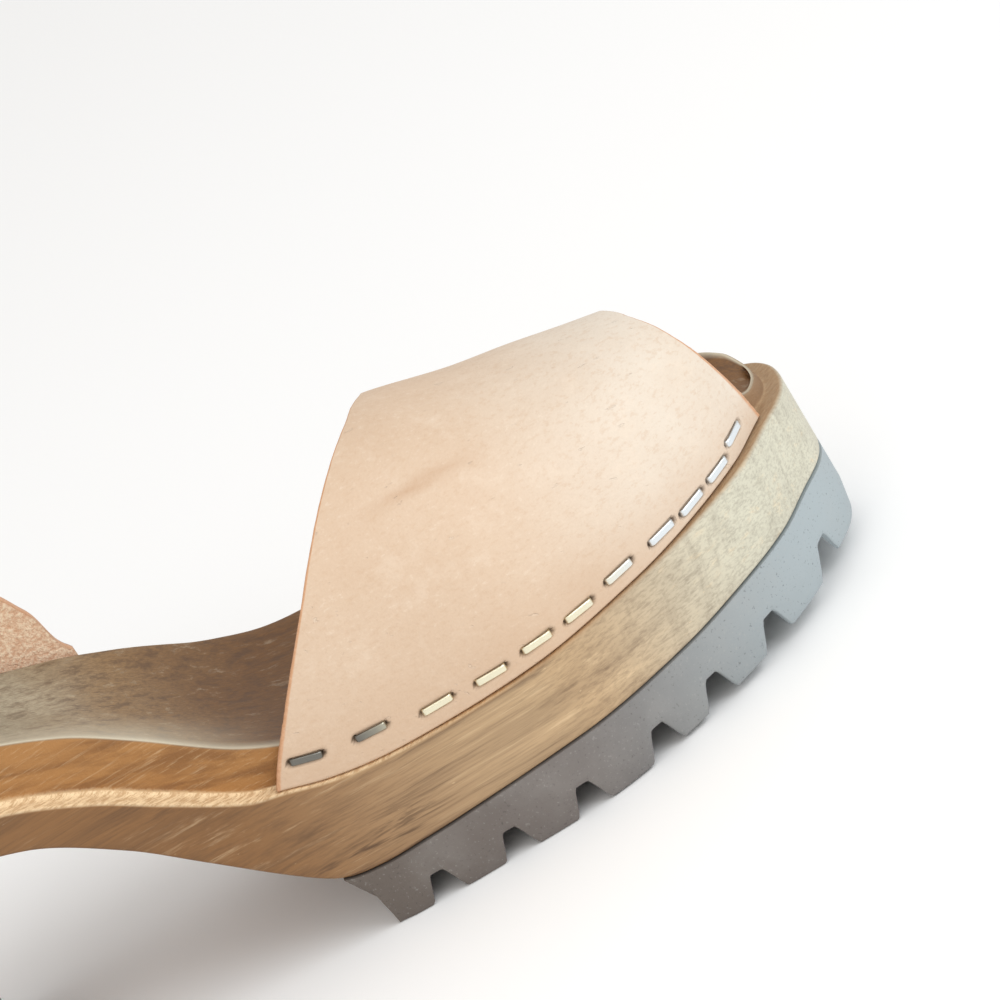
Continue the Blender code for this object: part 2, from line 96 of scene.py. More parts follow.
def spread(low: float, high: float, count: int) -> list[float]:
    """Space numbers evenly, both ends included.

    Args:
        low: The first number.
        high: The last number.
        count: How many.

    Returns:
        The numbers in order.
    """
    return [low + (high - low) * i / (count - 1) for i in range(count)]


# Shader sockets and nodes


class Wire:
    """A shader socket that can be used in Python expressions."""

    def __init__(self, bench: Bench, socket: bpy.types.NodeSocket) -> None:
        """Keep the socket and the bench that its nodes are made on."""
        self.bench = bench
        self.socket = socket

    def __add__(self, other: Wire | float) -> Wire:
        """Add."""
        return self.bench.maths("ADD", self, other)

    def __radd__(self, other: float) -> Wire:
        """Add to a number."""
        return self.bench.maths("ADD", other, self)

    def __sub__(self, other: Wire | float) -> Wire:
        """Subtract."""
        return self.bench.maths("SUBTRACT", self, other)

    def __rsub__(self, other: float) -> Wire:
        """Subtract from a number."""
        return self.bench.maths("SUBTRACT", other, self)

    def __mul__(self, other: Wire | float) -> Wire:
        """Multiply."""
        return self.bench.maths("MULTIPLY", self, other)

    def __rmul__(self, other: float) -> Wire:
        """Multiply a number."""
        return self.bench.maths("MULTIPLY", other, self)

    def __pow__(self, other: float) -> Wire:
        """Raise to a power."""
        return self.bench.maths("POWER", self, other)

    def between(self, low: float, high: float) -> Wire:
        """Rise smoothly from 0 at low to 1 at high, or fall where low is the greater.

        Args:
            low: The value that gives 0.
            high: The value that gives 1.

        Returns:
            The new value.
        """
        if low > high:
            return 1 - self.between(high, low)
        return self.bench.node(
            "ShaderNodeMapRange",
            {"interpolation_type": "SMOOTHSTEP"},
            {"Value": self, "From Min": low, "From Max": high},
        )


class Bench:
    """Where the nodes of one material are put together."""

    def __init__(self, name: str) -> None:
        """Start a material with nothing but its output.

        Args:
            name: The material's name.
        """
        self.material = bpy.data.materials.new(name)
        self.material.use_nodes = True
        self.tree = self.material.node_tree
        self.tree.nodes.clear()
        self.place = self.node("ShaderNodeTexCoord", {}, {}, "Object")

    def node(
        self,
        kind: str,
        settings: dict[str, Any],
        inputs: dict[str | int, Any],
        output: str | int = 0,
    ) -> Wire:
        """Add any node.

        Args:
            kind: The node's type.
            settings: Its properties, set first; stops holds a ramp's places and colours.
            inputs: Values or wires by socket name or number.
            output: The output wanted.

        Returns:
            That output as a wire.
        """
        made = self.tree.nodes.new(kind)
        for key, value in settings.items():
            if key == "stops":
                self._set_stops(made.color_ramp, value)
            else:
                setattr(made, key, value)
        for key, value in inputs.items():
            if isinstance(value, Wire):
                self.tree.links.new(value.socket, made.inputs[key])
            elif isinstance(value, tuple) and made.inputs[key].type == "RGBA":
                made.inputs[key].default_value = (*value[:3], 1.0)
            else:
                made.inputs[key].default_value = value
        return Wire(self, made.outputs[output])

    @staticmethod
    def _set_stops(ramp: bpy.types.ColorRamp, stops: Sequence[Stop]) -> None:
        """Give a ramp its places and colours."""
        while len(ramp.elements) < len(stops):
            ramp.elements.new(1.0)
        for element, (position, colour) in zip(ramp.elements, stops):
            element.position = position
            element.color = (*colour, 1.0)

    def maths(self, operation: str, one: Wire | float, two: Wire | float) -> Wire:
        """Add a Math node on two numbers.

        Args:
            operation: The node's operation.
            one: The first number.
            two: The second number.

        Returns:
            The result.
        """
        return self.node("ShaderNodeMath", {"operation": operation}, {0: one, 1: two})

    def axis(self, name: str) -> Wire:
        """Read one of the object's coordinates, named X, Y or Z."""
        return self.node("ShaderNodeSeparateXYZ", {}, {0: self.place}, name)

    def trait(self, name: str) -> Wire:
        """Read a number that the mesh carries on its points."""
        return self.node("ShaderNodeAttribute", {"attribute_name": name}, {}, "Fac")

    def stretched(
        self,
        scale: Colour,
        shift: Colour = (0.0, 0.0, 0.0),
        turn: Colour = (0.0, 0.0, 0.0),
    ) -> Wire:
        """Stretch, move and turn the object's coordinates for a pattern.

        Args:
            scale: Repeats per metre along each axis.
            shift: How far the pattern is moved, in metres.
            turn: How it is turned, in radians.

        Returns:
            The coordinates.
        """
        sizes = tuple(1 / repeats for repeats in scale)
        inputs = {"Vector": self.place, "Scale": sizes, "Location": shift, "Rotation": turn}
        return self.node("ShaderNodeMapping", {"vector_type": "TEXTURE"}, inputs, "Vector")

    def noise(
        self, where: Wire, detail: float = 4.0, rough: float = 0.55, warp: float = 0.0
    ) -> Wire:
        """Read a cloudy noise around 0.5.

        Args:
            where: Coordinates, already at the noise's scale.
            detail: How many finer layers it has.
            rough: How strong the finer layers are.
            warp: How far it is distorted.

        Returns:
            The noise.
        """
        inputs = {"Vector": where, "Scale": 1.0, "Detail": detail, "Roughness": rough}
        inputs["Distortion"] = warp
        return self.node("ShaderNodeTexNoise", {}, inputs, "Fac")

    def cells(self, where: Wire) -> Wire:
        """Read the distance to the nearest of many scattered points."""
        return self.node("ShaderNodeTexVoronoi", {}, {"Vector": where, "Scale": 1.0}, "Distance")

    def ramp(self, value: Wire, stops: Sequence[Stop]) -> Wire:
        """Turn a number into a colour.

        Args:
            value: The number.
            stops: Places and colours.

        Returns:
            The colour.
        """
        return self.node("ShaderNodeValToRGB", {"stops": stops}, {0: value}, "Color")

    def mix(
        self,
        share: Wire | float,
        one: Wire | Colour,
        two: Wire | Colour,
        how: str = "MIX",
    ) -> Wire:
        """Mix two colours.

        Args:
            share: How much of the second.
            one: The first colour.
            two: The second colour.
            how: The blend type.

        Returns:
            The colour.
        """
        settings = {"data_type": "RGBA", "blend_type": how}
        return self.node("ShaderNodeMix", settings, {0: share, 6: one, 7: two}, 2)

    def bump(self, height: Wire, depth: float, under: Wire | None = None) -> Wire:
        """Turn a height into a normal.

        Args:
            height: The height, about 0 to 1.
            depth: What 1 stands for, in metres.
            under: A normal to build on.

        Returns:
            The normal.
        """
        inputs: dict[str | int, Any] = {"Height": height, "Strength": 1.0, "Distance": depth}
        if under is not None:
            inputs["Normal"] = under
        return self.node("ShaderNodeBump", {}, inputs, "Normal")

    def coat(
        self,
        colour: Wire | Colour,
        roughness: Wire | float,
        normal: Wire | None = None,
        **fixed: float,
    ) -> bpy.types.Material:
        """Finish the material with one Principled shader.

        Args:
            colour: Base colour.
            roughness: Roughness.
            normal: Normal, if the surface has relief.
            **fixed: Values the same all over, with spaces in their names as underscores.

        Returns:
            The material.
        """
        inputs: dict[str | int, Any] = {"Base Color": colour, "Roughness": roughness}
        if normal is not None:
            inputs["Normal"] = normal
        inputs.update({key.replace("_", " "): value for key, value in fixed.items()})
        shader = self.node("ShaderNodeBsdfPrincipled", {}, inputs, "BSDF")
        output = self.tree.nodes.new("ShaderNodeOutputMaterial")
        self.tree.links.new(shader.socket, output.inputs["Surface"])
        return self.material


# Finishes


class Slot(Enum):
    """The record's material slots."""

    WOOD = "wood"
    RUBBER = "rubber"
    VAMP = "vamp_leather"
    QUARTER = "quarter_leather"
    STAPLE = "staple"


@dataclass(frozen=True)
class WoodFinish:
    """Sanded, waxed wood, routed raw along the rebate; side and footbed carry painted light."""

    # The side's colours carry painted light: painted shade at the waist, pale bluish painted light at the
    # toe.
    side_waist_painted_shade: Colour = paint(132, 92, 50)
    side_ball: Colour = paint(192, 162, 124)
    side_toe_painted_light: Colour = paint(206, 203, 184)
    routed: Colour = paint(166, 118, 66)
    routed_dark: Colour = paint(122, 80, 40)
    routed_toe: Colour = paint(140, 112, 84)
    ledge: Colour = paint(242, 214, 172)
    bed: Colour = paint(160, 151, 130)
    bed_middle: Colour = paint(146, 116, 78)
    # Dark brown painted shadow where the vamp shades the footbed's front.
    bed_front_painted_shade: Colour = paint(116, 78, 36)
    # Pale wood colour: light grain streaks, and also painted highlights on the footbed.
    rim: Colour = paint(214, 204, 180)
    dark_line: Colour = paint(74, 48, 26)

    def material(self) -> bpy.types.Material:
        """Put the wood together.

        Returns:
            The material.
        """
        bench = Bench("carved_wood")
        along = bench.axis("X")
        up = bench.axis("Z")
        ledge, bed, cut = bench.trait("ledge"), bench.trait("bed"), bench.trait("routed")
        broad = bench.noise(bench.stretched((6.0, 42.0, 60.0), (0.2, 0.0, 0.0)), 4.0, 0.6, 0.5)
        lines = bench.noise(bench.stretched((14.0, 330.0, 430.0), (0.3, 0.0, 0.0)), 5.0, 0.72, 0.2)
        fine = bench.noise(bench.stretched((45.0, 1500.0, 1700.0), (0.1, 0.0, 0.0)), 3.0, 0.7)
        pores = bench.noise(bench.stretched((170.0, 1500.0, 1500.0), (0.6, 0.0, 0.0)), 2.0, 0.6)
        cloud = bench.noise(bench.stretched((26.0, 26.0, 26.0), (0.5, 0.1, 0.2)), 3.0, 0.5)
        # Painted light and shade: the side darkens towards the waist and pales towards the toe.
        side = bench.mix(along.between(-0.03, 0.05), self.side_waist_painted_shade, self.side_ball)
        side = bench.mix(along.between(0.05, 0.105), side, self.side_toe_painted_light)
        calm = along.between(0.115, 0.03)
        side = bench.mix(broad.between(0.62, 0.36) * (0.10 + calm * 0.24), side, self.dark_line)
        side = bench.mix(lines.between(0.50, 0.30) * (0.12 + calm * 0.38), side, self.dark_line)
        side = bench.mix(lines.between(0.54, 0.72) * 0.30, side, self.ledge)
        side = bench.mix(fine.between(0.56, 0.36) * 0.22, side, self.dark_line)
        low = up.between(0.033, 0.019) * along.between(0.045, -0.005) * along.between(-0.05, -0.01)
        knot = bench.noise(bench.stretched((22.0, 90.0, 300.0), (0.7, 0.0, 0.0)), 4.0, 0.6, 1.2)
        side = bench.mix(low * knot.between(0.52, 0.62) * 0.75, side, self.dark_line)
        side = bench.mix(pores.between(0.74, 0.80) * 0.55, side, self.ledge)
        hatches = bench.noise(bench.stretched((420.0, 420.0, 60.0), turn=(0.0, 0.25, 0.0)), 3.0, 0.6)
        side = bench.mix(hatches.between(0.50, 0.70) * along.between(0.04, 0.09) * 0.16, side, self.dark_line)
        sole = bench.mix(along.between(-0.062, -0.034), self.bed, self.bed_middle)
        # Painted shadow: the footbed turns dark brown towards the front, under the vamp.
        sole = bench.mix((along + cloud * 0.03).between(-0.030, 0.012), sole, self.bed_front_painted_shade)
        # Painted highlights on the footbed: pale sheen patches towards the heel, a paler near half, and a
        # bright band along its rounded edge on the near side and at the toe.
        sole = bench.mix(broad.between(0.50, 0.74) * along.between(-0.02, -0.07) * 0.35, sole, self.rim)
        sole = bench.mix(lines.between(0.52, 0.34) * 0.55, sole, self.dark_line)
        sole = bench.mix(lines.between(0.55, 0.72) * 0.25, sole, self.rim)
        sole = bench.mix(fine.between(0.60, 0.40) * 0.28, sole, self.dark_line)
        near = bench.axis("Y").between(-0.008, -0.032) * along.between(-0.005, -0.04)
        sole = bench.mix(near * (0.3 + cloud * 0.7), sole, self.rim)
        shown = bench.axis("Y").between(0.0, -0.02) + along.between(0.095, 0.105)
        sole = bench.mix(bench.trait("rim") * shown * (0.35 + cloud * 0.6), sole, self.rim)
        marks = bench.noise(bench.stretched((38.0, 260.0, 260.0), turn=(0.0, 0.28, 0.0)), 4.0, 0.65, 0.3)
        wall = bench.mix(marks.between(0.40, 0.66) * 0.75, self.routed, self.routed_dark)
        wall = bench.mix(fine.between(0.52, 0.72) * 0.22, wall, self.ledge)
        wall = bench.mix(along.between(0.03, 0.08) * 0.85, wall, self.routed_toe)
        hatch = bench.noise(bench.stretched((260.0, 1500.0, 700.0), turn=(0.0, 0.3, 0.75)), 4.0, 0.8)
        shelf = bench.mix(hatch.between(0.40, 0.62) * 0.62, self.ledge, self.routed)
        shelf = bench.mix(along.between(-0.005, 0.05) * 0.8, shelf, wall)
        ragged = (ledge + (hatch - 0.5) * 0.7).between(0.04, 0.50)
        routed = bench.mix(ragged, wall, shelf)
        colour = bench.mix(bed, side, sole)
        colour = bench.mix(cut, colour, routed)
        fibre = bench.bump(lines * 0.55 + fine * 0.3 + pores * 0.15, 0.00022)
        routed = bench.bump((marks * 0.4 + hatch * 0.6) * cut, 0.00045, fibre)
        roughness = 0.46 + lines * 0.18 + cut * 0.22
        return bench.coat(colour, roughness, routed, Coat_Weight=0.06, Coat_Roughness=0.35)


@dataclass(frozen=True)
class LeatherFinish:
    """Thick undyed vegetable-tanned leather, smooth outside and raw inside."""

    name: str
    face: Colour = paint(211, 186, 161)
    warm: Colour = paint(196, 164, 134)
    light: Colour = paint(228, 210, 190)
    # Paler colour towards the toe: painted light from the toe side.
    pale: Colour = paint(222, 212, 198)
    flesh: Colour = paint(255, 234, 206)
    flesh_dark: Colour = paint(224, 182, 150)
    edge: Colour = paint(196, 146, 108)
    stain: Colour = paint(184, 146, 112)
    # Painted shade for the staples' leg holes and sunk slots.
    hole_painted_shade: Colour = paint(62, 42, 30)

    def material(self) -> bpy.types.Material:
        """Put the leather together.

        Returns:
            The material.
        """
        bench = Bench(self.name)
        cloud = bench.noise(bench.stretched((22.0, 22.0, 22.0), (0.1, 0.4, 0.2)), 5.0, 0.6)
        mottle = bench.noise(bench.stretched((130.0, 130.0, 130.0)), 4.0, 0.7)
        grain = bench.cells(bench.stretched((1500.0, 1500.0, 1500.0)))
        fine = bench.noise(bench.stretched((900.0, 900.0, 900.0)), 3.0, 0.6)
        # Painted light: the face turns paler and less warm towards the toe.
        colour = bench.mix(bench.axis("X").between(0.045, 0.115), self.face, self.pale)
        colour = bench.mix(cloud.between(0.35, 0.68) * 0.30, colour, self.warm)
        grains = bench.noise(bench.stretched((520.0, 700.0, 1100.0)), 4.0, 0.75)
        colour = bench.mix(grains.between(0.50, 0.34) * 0.30, colour, self.warm)
        colour = bench.mix(grains.between(0.56, 0.72) * 0.40, colour, self.light)
        colour = bench.mix(mottle.between(0.5, 0.75) * 0.30, colour, self.light)
        scuff = bench.noise(
            bench.stretched((60.0, 900.0, 500.0), (0.2, 0.0, 0.1), (0.0, 0.55, 0.35)), 3.0, 0.7
        )
        scuffs = scuff.between(0.66, 0.74)
        colour = bench.mix(scuffs * 0.35, colour, self.light)
        colour = bench.mix(bench.trait("stain") * (0.35 + mottle * 0.5), colour, self.stain)
        colour = bench.mix(bench.trait("low") * 0.45, colour, self.warm)
        nap = bench.noise(bench.stretched((1100.0, 1100.0, 1100.0), (0.3, 0.3, 0.3)), 3.0, 0.75)
        raw = bench.mix(nap.between(0.35, 0.68), self.flesh_dark, self.flesh)
        rim = bench.mix(nap.between(0.3, 0.7) * 0.4, self.edge, self.flesh_dark)
        colour = bench.mix(bench.trait("edge"), colour, rim)
        colour = bench.mix(bench.trait("flesh"), colour, raw)
        # Painted shade in the staples' slots and leg holes.
        colour = bench.mix(bench.trait("hole_painted_shade") * 0.85, colour, self.hole_painted_shade)
        skin = bench.bump(grain * 0.3 + fine * 0.3 + grains * 0.4, 0.00016)
        crease = bench.bump(scuffs * -1.0 + cloud * 0.6, 0.00012, skin)
        furry = bench.bump(nap * bench.trait("flesh"), 0.00035, crease)
        roughness = 0.48 + bench.trait("flesh") * 0.4 + cloud * 0.12
        return bench.coat(colour, roughness, furry, Specular_IOR_Level=0.4)


@dataclass(frozen=True)
class RubberFinish:
    """Moulded grey rubber, matt, with painted light: warm and dark at the waist, pale and bluish at the toe.
    """

    # From waist to toe these colours carry painted light: painted shade at the waist, painted light at the
    # toe.
    waist: Colour = paint(100, 91, 84)
    middle: Colour = paint(112, 105, 101)
    toe: Colour = paint(164, 174, 178)
    dust: Colour = paint(176, 174, 170)
    pit: Colour = paint(62, 56, 54)

    def material(self) -> bpy.types.Material:
        """Put the rubber together.

        Returns:
            The material.
        """
        bench = Bench("grey_rubber")
        cloud = bench.noise(bench.stretched((35.0, 35.0, 35.0)), 4.0, 0.6)
        speck = bench.noise(bench.stretched((1400.0, 1400.0, 1400.0)), 2.0, 0.6)
        # Painted light: darker and warmer towards the waist, paler and bluer towards the toe.
        colour = bench.mix(bench.axis("X").between(-0.02, 0.045), self.waist, self.middle)
        colour = bench.mix(bench.axis("X").between(0.035, 0.12), colour, self.toe)
        colour = bench.mix(speck.between(0.60, 0.74) * 0.25, colour, self.dust)
        colour = bench.mix(speck.between(0.38, 0.28) * 0.4, colour, self.pit)
        colour = bench.mix(cloud.between(0.45, 0.75) * 0.22, colour, self.dust)
        normal = bench.bump(speck * 0.5 + cloud * 0.5, 0.00012)
        return bench.coat(colour, 0.62 + cloud * 0.2, normal, Specular_IOR_Level=0.35)


@dataclass(frozen=True)
class StapleFinish:
    """Bright flat wire with painted reflections: dark grey at heel and waist, cream, then pale blue silver at
    the toe.
    """

    dark_painted_reflection: Colour = paint(120, 118, 112)
    cream_painted_reflection: Colour = paint(236, 230, 204)
    silver_painted_reflection: Colour = paint(226, 232, 236)

    def material(self) -> bpy.types.Material:
        """Put the wire together.

        Returns:
            The material.
        """
        bench = Bench("staple_wire")
        drawn = bench.noise(bench.stretched((900.0, 900.0, 5200.0)), 2.0, 0.6)
        # Painted reflections: the wire's colour runs dark grey, cream, pale blue silver along the shoe.
        colour = bench.ramp(
            bench.axis("X"),
            [(0.010, self.dark_painted_reflection), (0.020, self.cream_painted_reflection), (0.062, self.cream_painted_reflection), (0.080, self.silver_painted_reflection)],
        )
        normal = bench.bump(drawn, 0.00003)
        return bench.coat(colour, 0.26 + drawn * 0.16, normal, Metallic=1.0)


@dataclass(frozen=True)
class FloorFinish:
    """The studio's pale floor."""

    colour: Colour = paint(250, 250, 250)

    def material(self) -> bpy.types.Material:
        """Put the floor together.

        Returns:
            The material.
        """
        bench = Bench("pale_floor")
        return bench.coat(self.colour, 0.9, None, Specular_IOR_Level=0.1)


# The last: outline and heights


class PlanRow(NamedTuple):
    """The outline at a share of the length: centre and half width by the ball width."""

    along: float
    centre: float
    half: float


class LevelRow(NamedTuple):
    """Heights at a share of the length, each a share of the size it is named for."""

    along: float
    rise: float
    spring: float
    side: float
    rebate: float
    cove: float
    lean: float


PLAN = (
    PlanRow(0.000, -0.012, 0.365),
    PlanRow(0.130, -0.012, 0.366),
    PlanRow(0.300, -0.004, 0.363),
    PlanRow(0.432, -0.001, 0.405),
    PlanRow(0.500, -0.004, 0.420),
    PlanRow(0.568, 0.012, 0.447),
    PlanRow(0.692, 0.055, 0.486),
    PlanRow(0.790, 0.104, 0.460),
    PlanRow(0.868, 0.120, 0.423),
    PlanRow(0.932, 0.150, 0.405),
    PlanRow(0.970, 0.185, 0.362),
    PlanRow(1.000, 0.205, 0.380),
)

LEVELS = (
    LevelRow(0.000, 1.000, 0.00, 0.60, 1.25, 0.33, 0.16),
    LevelRow(0.132, 0.885, 0.00, 0.56, 1.30, 0.33, 0.16),
    LevelRow(0.242, 0.700, 0.00, 0.52, 1.48, 0.36, 0.18),
    LevelRow(0.312, 0.510, 0.00, 0.68, 1.58, 0.36, 0.18),
    LevelRow(0.360, 0.340, 0.00, 0.83, 1.56, 0.32, 0.16),
    LevelRow(0.420, 0.150, 0.00, 1.06, 1.34, 0.20, 0.10),
    LevelRow(0.452, 0.106, 0.00, 1.24, 1.10, 0.09, 0.05),
    LevelRow(0.488, 0.052, 0.00, 1.19, 1.00, 0.06, 0.03),
    LevelRow(0.532, 0.015, 0.00, 1.09, 0.96, 0.06, 0.03),
    LevelRow(0.592, 0.000, 0.00, 1.02, 0.94, 0.06, 0.03),
    LevelRow(0.668, 0.000, 0.03, 0.98, 0.92, 0.06, 0.03),
    LevelRow(0.748, 0.000, 0.13, 0.99, 0.90, 0.06, 0.03),
    LevelRow(0.812, 0.000, 0.32, 0.99, 0.88, 0.06, 0.03),
    LevelRow(0.864, 0.000, 0.53, 0.97, 0.90, 0.08, 0.04),
    LevelRow(0.920, 0.000, 0.76, 0.96, 0.94, 0.12, 0.05),
    LevelRow(0.968, 0.000, 0.84, 0.95, 0.84, 0.14, 0.05),
    LevelRow(1.000, 0.000, 0.84, 0.95, 0.40, 0.14, 0.05),
)


def read(rows: Sequence[NamedTuple], column: str, along: float) -> float:
    """Read a table's column at a share along it, with a smooth cubic between the rows.

    Args:
        rows: The table; its first column is the share.
        column: The column wanted.
        along: The share.

    Returns:
        The value.
    """
    last = len(rows) - 1
    low = 0
    while low < last - 1 and rows[low + 1][0] < along:
        low += 1
    here, there = rows[low], rows[low + 1]
    span = there[0] - here[0]
    part = min(max((along - here[0]) / span, 0.0), 1.0)
    index = here._fields.index(column)

    def slope(row: int) -> float:
        """Give the column's slope at a row, over this span."""
        before, after = rows[max(row - 1, 0)], rows[min(row + 1, last)]
        return (after[index] - before[index]) / (after[0] - before[0]) * span

    rise, run = slope(low), slope(low + 1)
    start, end = here[index], there[index]
    return (
        start * (1 + 2 * part) * (1 - part) ** 2
        + rise * part * (1 - part) ** 2
        + end * part**2 * (3 - 2 * part)
        + run * part**2 * (part - 1)
    )


@dataclass(frozen=True)
class Last:
    """The shoe's outline, ledge, footbed and underside, in metres from the back of the heel."""

    length: float = 0.250
    ball_width: float = 0.085
    toe_cap: float = 0.060
    toe_fullness: float = 2.2
    heel_cap: float = 0.031
    tread: float = 0.0165
    wood_side: float = 0.020
    rebate: float = 0.0090
    heel_rise: float = 0.0475
    toe_spring: float = 0.0060
    toe_roll: float = 0.0016
    heel_dip: float = 0.0050
    dish: float = 0.0035
    breast: float = 0.0385
    breast_run: float = 0.0135
    heel_inset: float = 0.0045
    heel_tread: float = 0.012
    leather: float = 0.0028
    bare: float = 0.0016
    flush: float = 0.0005
    seat_gap: float = 0.0004
    gap: float = 0.0003

    def cap(self, x: float) -> float:
        """Give the round of heel and toe as a share of the half width."""
        if x < self.heel_cap:
            return math.sqrt(max(1 - ((self.heel_cap - x) / self.heel_cap) ** 2, 0.0))
        if x > self.length - self.toe_cap:
            reach = (x - self.length + self.toe_cap) / self.toe_cap
            return max(1 - reach**self.toe_fullness, 0.0) ** (1 / self.toe_fullness)
        return 1.0

    def side(self, x: float, side: int) -> Vector:
        """Give the outline's point at x; side is -1 for the outer side and 1 for the inner."""
        along = x / self.length
        half = read(PLAN, "half", along) * self.cap(x)
        return Vector((x, (read(PLAN, "centre", along) + side * half) * self.ball_width, 0.0))

    def outward(self, x: float, side: int) -> Vector:
        """Give the outline's outward direction in plan."""
        if x <= 0.0:
            return Vector((-1.0, 0.0, 0.0))
        if x >= self.length:
            return Vector((1.0, 0.0, 0.0))
        reach = min(self.length * 0.002, x, self.length - x)
        run = self.side(x + reach, side) - self.side(x - reach, side)
        return Vector((-run.y * side, run.x * side, 0.0)).normalized()

    def inset(self, x: float, side: int, depth: float) -> Vector:
        """Give the outline's point at x, moved into the shoe by a depth."""
        return self.side(x, side) - self.outward(x, side) * depth

    def ledge(self, x: float) -> float:
        """Give the height of the ledge that carries the leather."""
        along = x / self.length
        rise = read(LEVELS, "rise", along) * self.heel_rise
        return self.tread + self.wood_side + rise + read(LEVELS, "spring", along) * self.toe_spring

    def bed(self, x: float, side: int) -> float:
        """Give the height of the footbed's edge, whose inner side dips at the heel."""
        along = x / self.length
        roll = self.toe_roll * ease(0.90, 0.96, along) * (1 - ease(0.985, 1.0, along))
        near = ease(0.06, 0.24, along) * (1 - ease(0.25, 0.42, along))
        dip = self.heel_dip * near * (1 + side) / 2
        return self.ledge(x) + read(LEVELS, "rebate", along) * self.rebate + roll * side - dip

    def breast_share(self, x: float) -> float:
        """Go from 0 on the heel's base to 1 in front of its breast."""
        return ease(self.breast - self.breast_run, self.breast + self.breast_run, x)

    def bottom(self, x: float) -> float:
        """Give the height of the wood's lower edge."""
        arch = self.ledge(x) - read(LEVELS, "side", x / self.length) * self.wood_side
        base = self.heel_tread + self.gap
        return base + (arch - base) * self.breast_share(x)

    def floor(self, x: float) -> float:
        """Give the height of the lugs' lower faces."""
        return max(read(LEVELS, "spring", x / self.length), 0.0) * self.toe_spring

    def taper(self, x: float) -> float:
        """Give how far the heel's base lies inside the outline."""
        return self.heel_inset * (1 - self.breast_share(x))

    def strip(self, x: float) -> float:
        """Give the width of ledge left bare outside the leather."""
        along = x / self.length
        return self.flush + self.bare * ease(0.80, 0.95, along) * (1 - ease(0.972, 1.0, along))

    def wall(self, x: float) -> float:
        """Give how far the foot of the rebate's wall lies inside the outline."""
        return self.strip(x) + self.leather + self.seat_gap

    def middle(self) -> float:
        """Give the middle of the outline's widest points."""
        xs = spread(0.0, self.length, 401)
        low = min(self.side(x, -1).y for x in xs)
        high = max(self.side(x, 1).y for x in xs)
        return (low + high) / 2

    def stations(self, step: float, cap_steps: int) -> list[float]:
        """List x from heel to toe, closer together round both ends.

        Args:
            step: The spacing between the caps.
            cap_steps: How many steps each cap takes.

        Returns:
            The stations.
        """
        quarter = math.pi / 2
        heel = [self.heel_cap * (1 - math.cos(quarter * i / cap_steps)) for i in range(cap_steps)]
        start = self.length - self.toe_cap
        toe = [start + self.toe_cap * math.sin(quarter * i / cap_steps) for i in range(cap_steps + 1)]
        count = round((start - self.heel_cap) / step)
        return heel + spread(self.heel_cap, start, count + 1)[:-1] + toe


LAST = Last()
SHIFT = Vector((LAST.length / 2, LAST.middle(), 0.0))


# Meshes

Place = Callable[[int, int], Vector]
Traits = dict[str, Callable[[int, int], float]]


def loft(columns: int, rows: int, place: Place, traits: Traits | None = None) -> bmesh.types.BMesh:
    """Bend a grid into a skin and weld it where its edges meet.

    Args:
        columns: Points along the piece.
        rows: Points round its section.
        place: Gives a point from its column and row.
        traits: Numbers to carry on the points, by name.

    Returns:
        The mesh, with its faces pointing outwards.
    """
    bm = bmesh.new()
    bmesh.ops.create_grid(bm, x_segments=columns - 1, y_segments=rows - 1, size=1.0)
    layers = {name: bm.verts.layers.float.new(name) for name in (traits or {})}
    for vert in bm.verts:
        column = round((vert.co.x + 1) / 2 * (columns - 1))
        row = round((vert.co.y + 1) / 2 * (rows - 1))
        for name, layer in layers.items():
            vert[layer] = traits[name](column, row)
        vert.co = place(column, row) - SHIFT
    bmesh.ops.remove_doubles(bm, verts=bm.verts, dist=1e-6)
    bmesh.ops.dissolve_degenerate(bm, dist=1e-7, edges=bm.edges)
    bmesh.ops.recalc_face_normals(bm, faces=bm.faces)
    return bm


def keep(
    name: str,
    bm: bmesh.types.BMesh,
    material: bpy.types.Material,
    node: str,
    crease: float = 40.0,
) -> bpy.types.Object:
    """Make a finished piece that stands for a node of the frame.

    Args:
        name: The piece's name.
        bm: Its mesh.
        material: Its finish.
        node: The node that it stands for.
        crease: The angle in degrees past which an edge stays sharp.

    Returns:
        The object.
    """
    mesh = bpy.data.meshes.new(name)
    bm.to_mesh(mesh)
    bm.free()
    mesh.shade_smooth()
    mesh.set_sharp_from_angle(angle=math.radians(crease))
    mesh.materials.append(material)
    piece = bpy.data.objects.new(name, mesh)
    bpy.context.scene.collection.objects.link(piece)
    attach(piece, "root")
    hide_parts(node)
    LOG.info("%s: %d faces, for %s", name, len(mesh.polygons), node)
    return piece


class SectionPoint(NamedTuple):
    """A point of a cross section: side or share across, inset, height and its traits."""

    side: int
    inset: float
    height: float
    across: float
    routed: float = 0.0
    ledge: float = 0.0
    bed: float = 0.0
    # rim: where the footbed's edge band gets a painted highlight.
    rim: float = 0.0


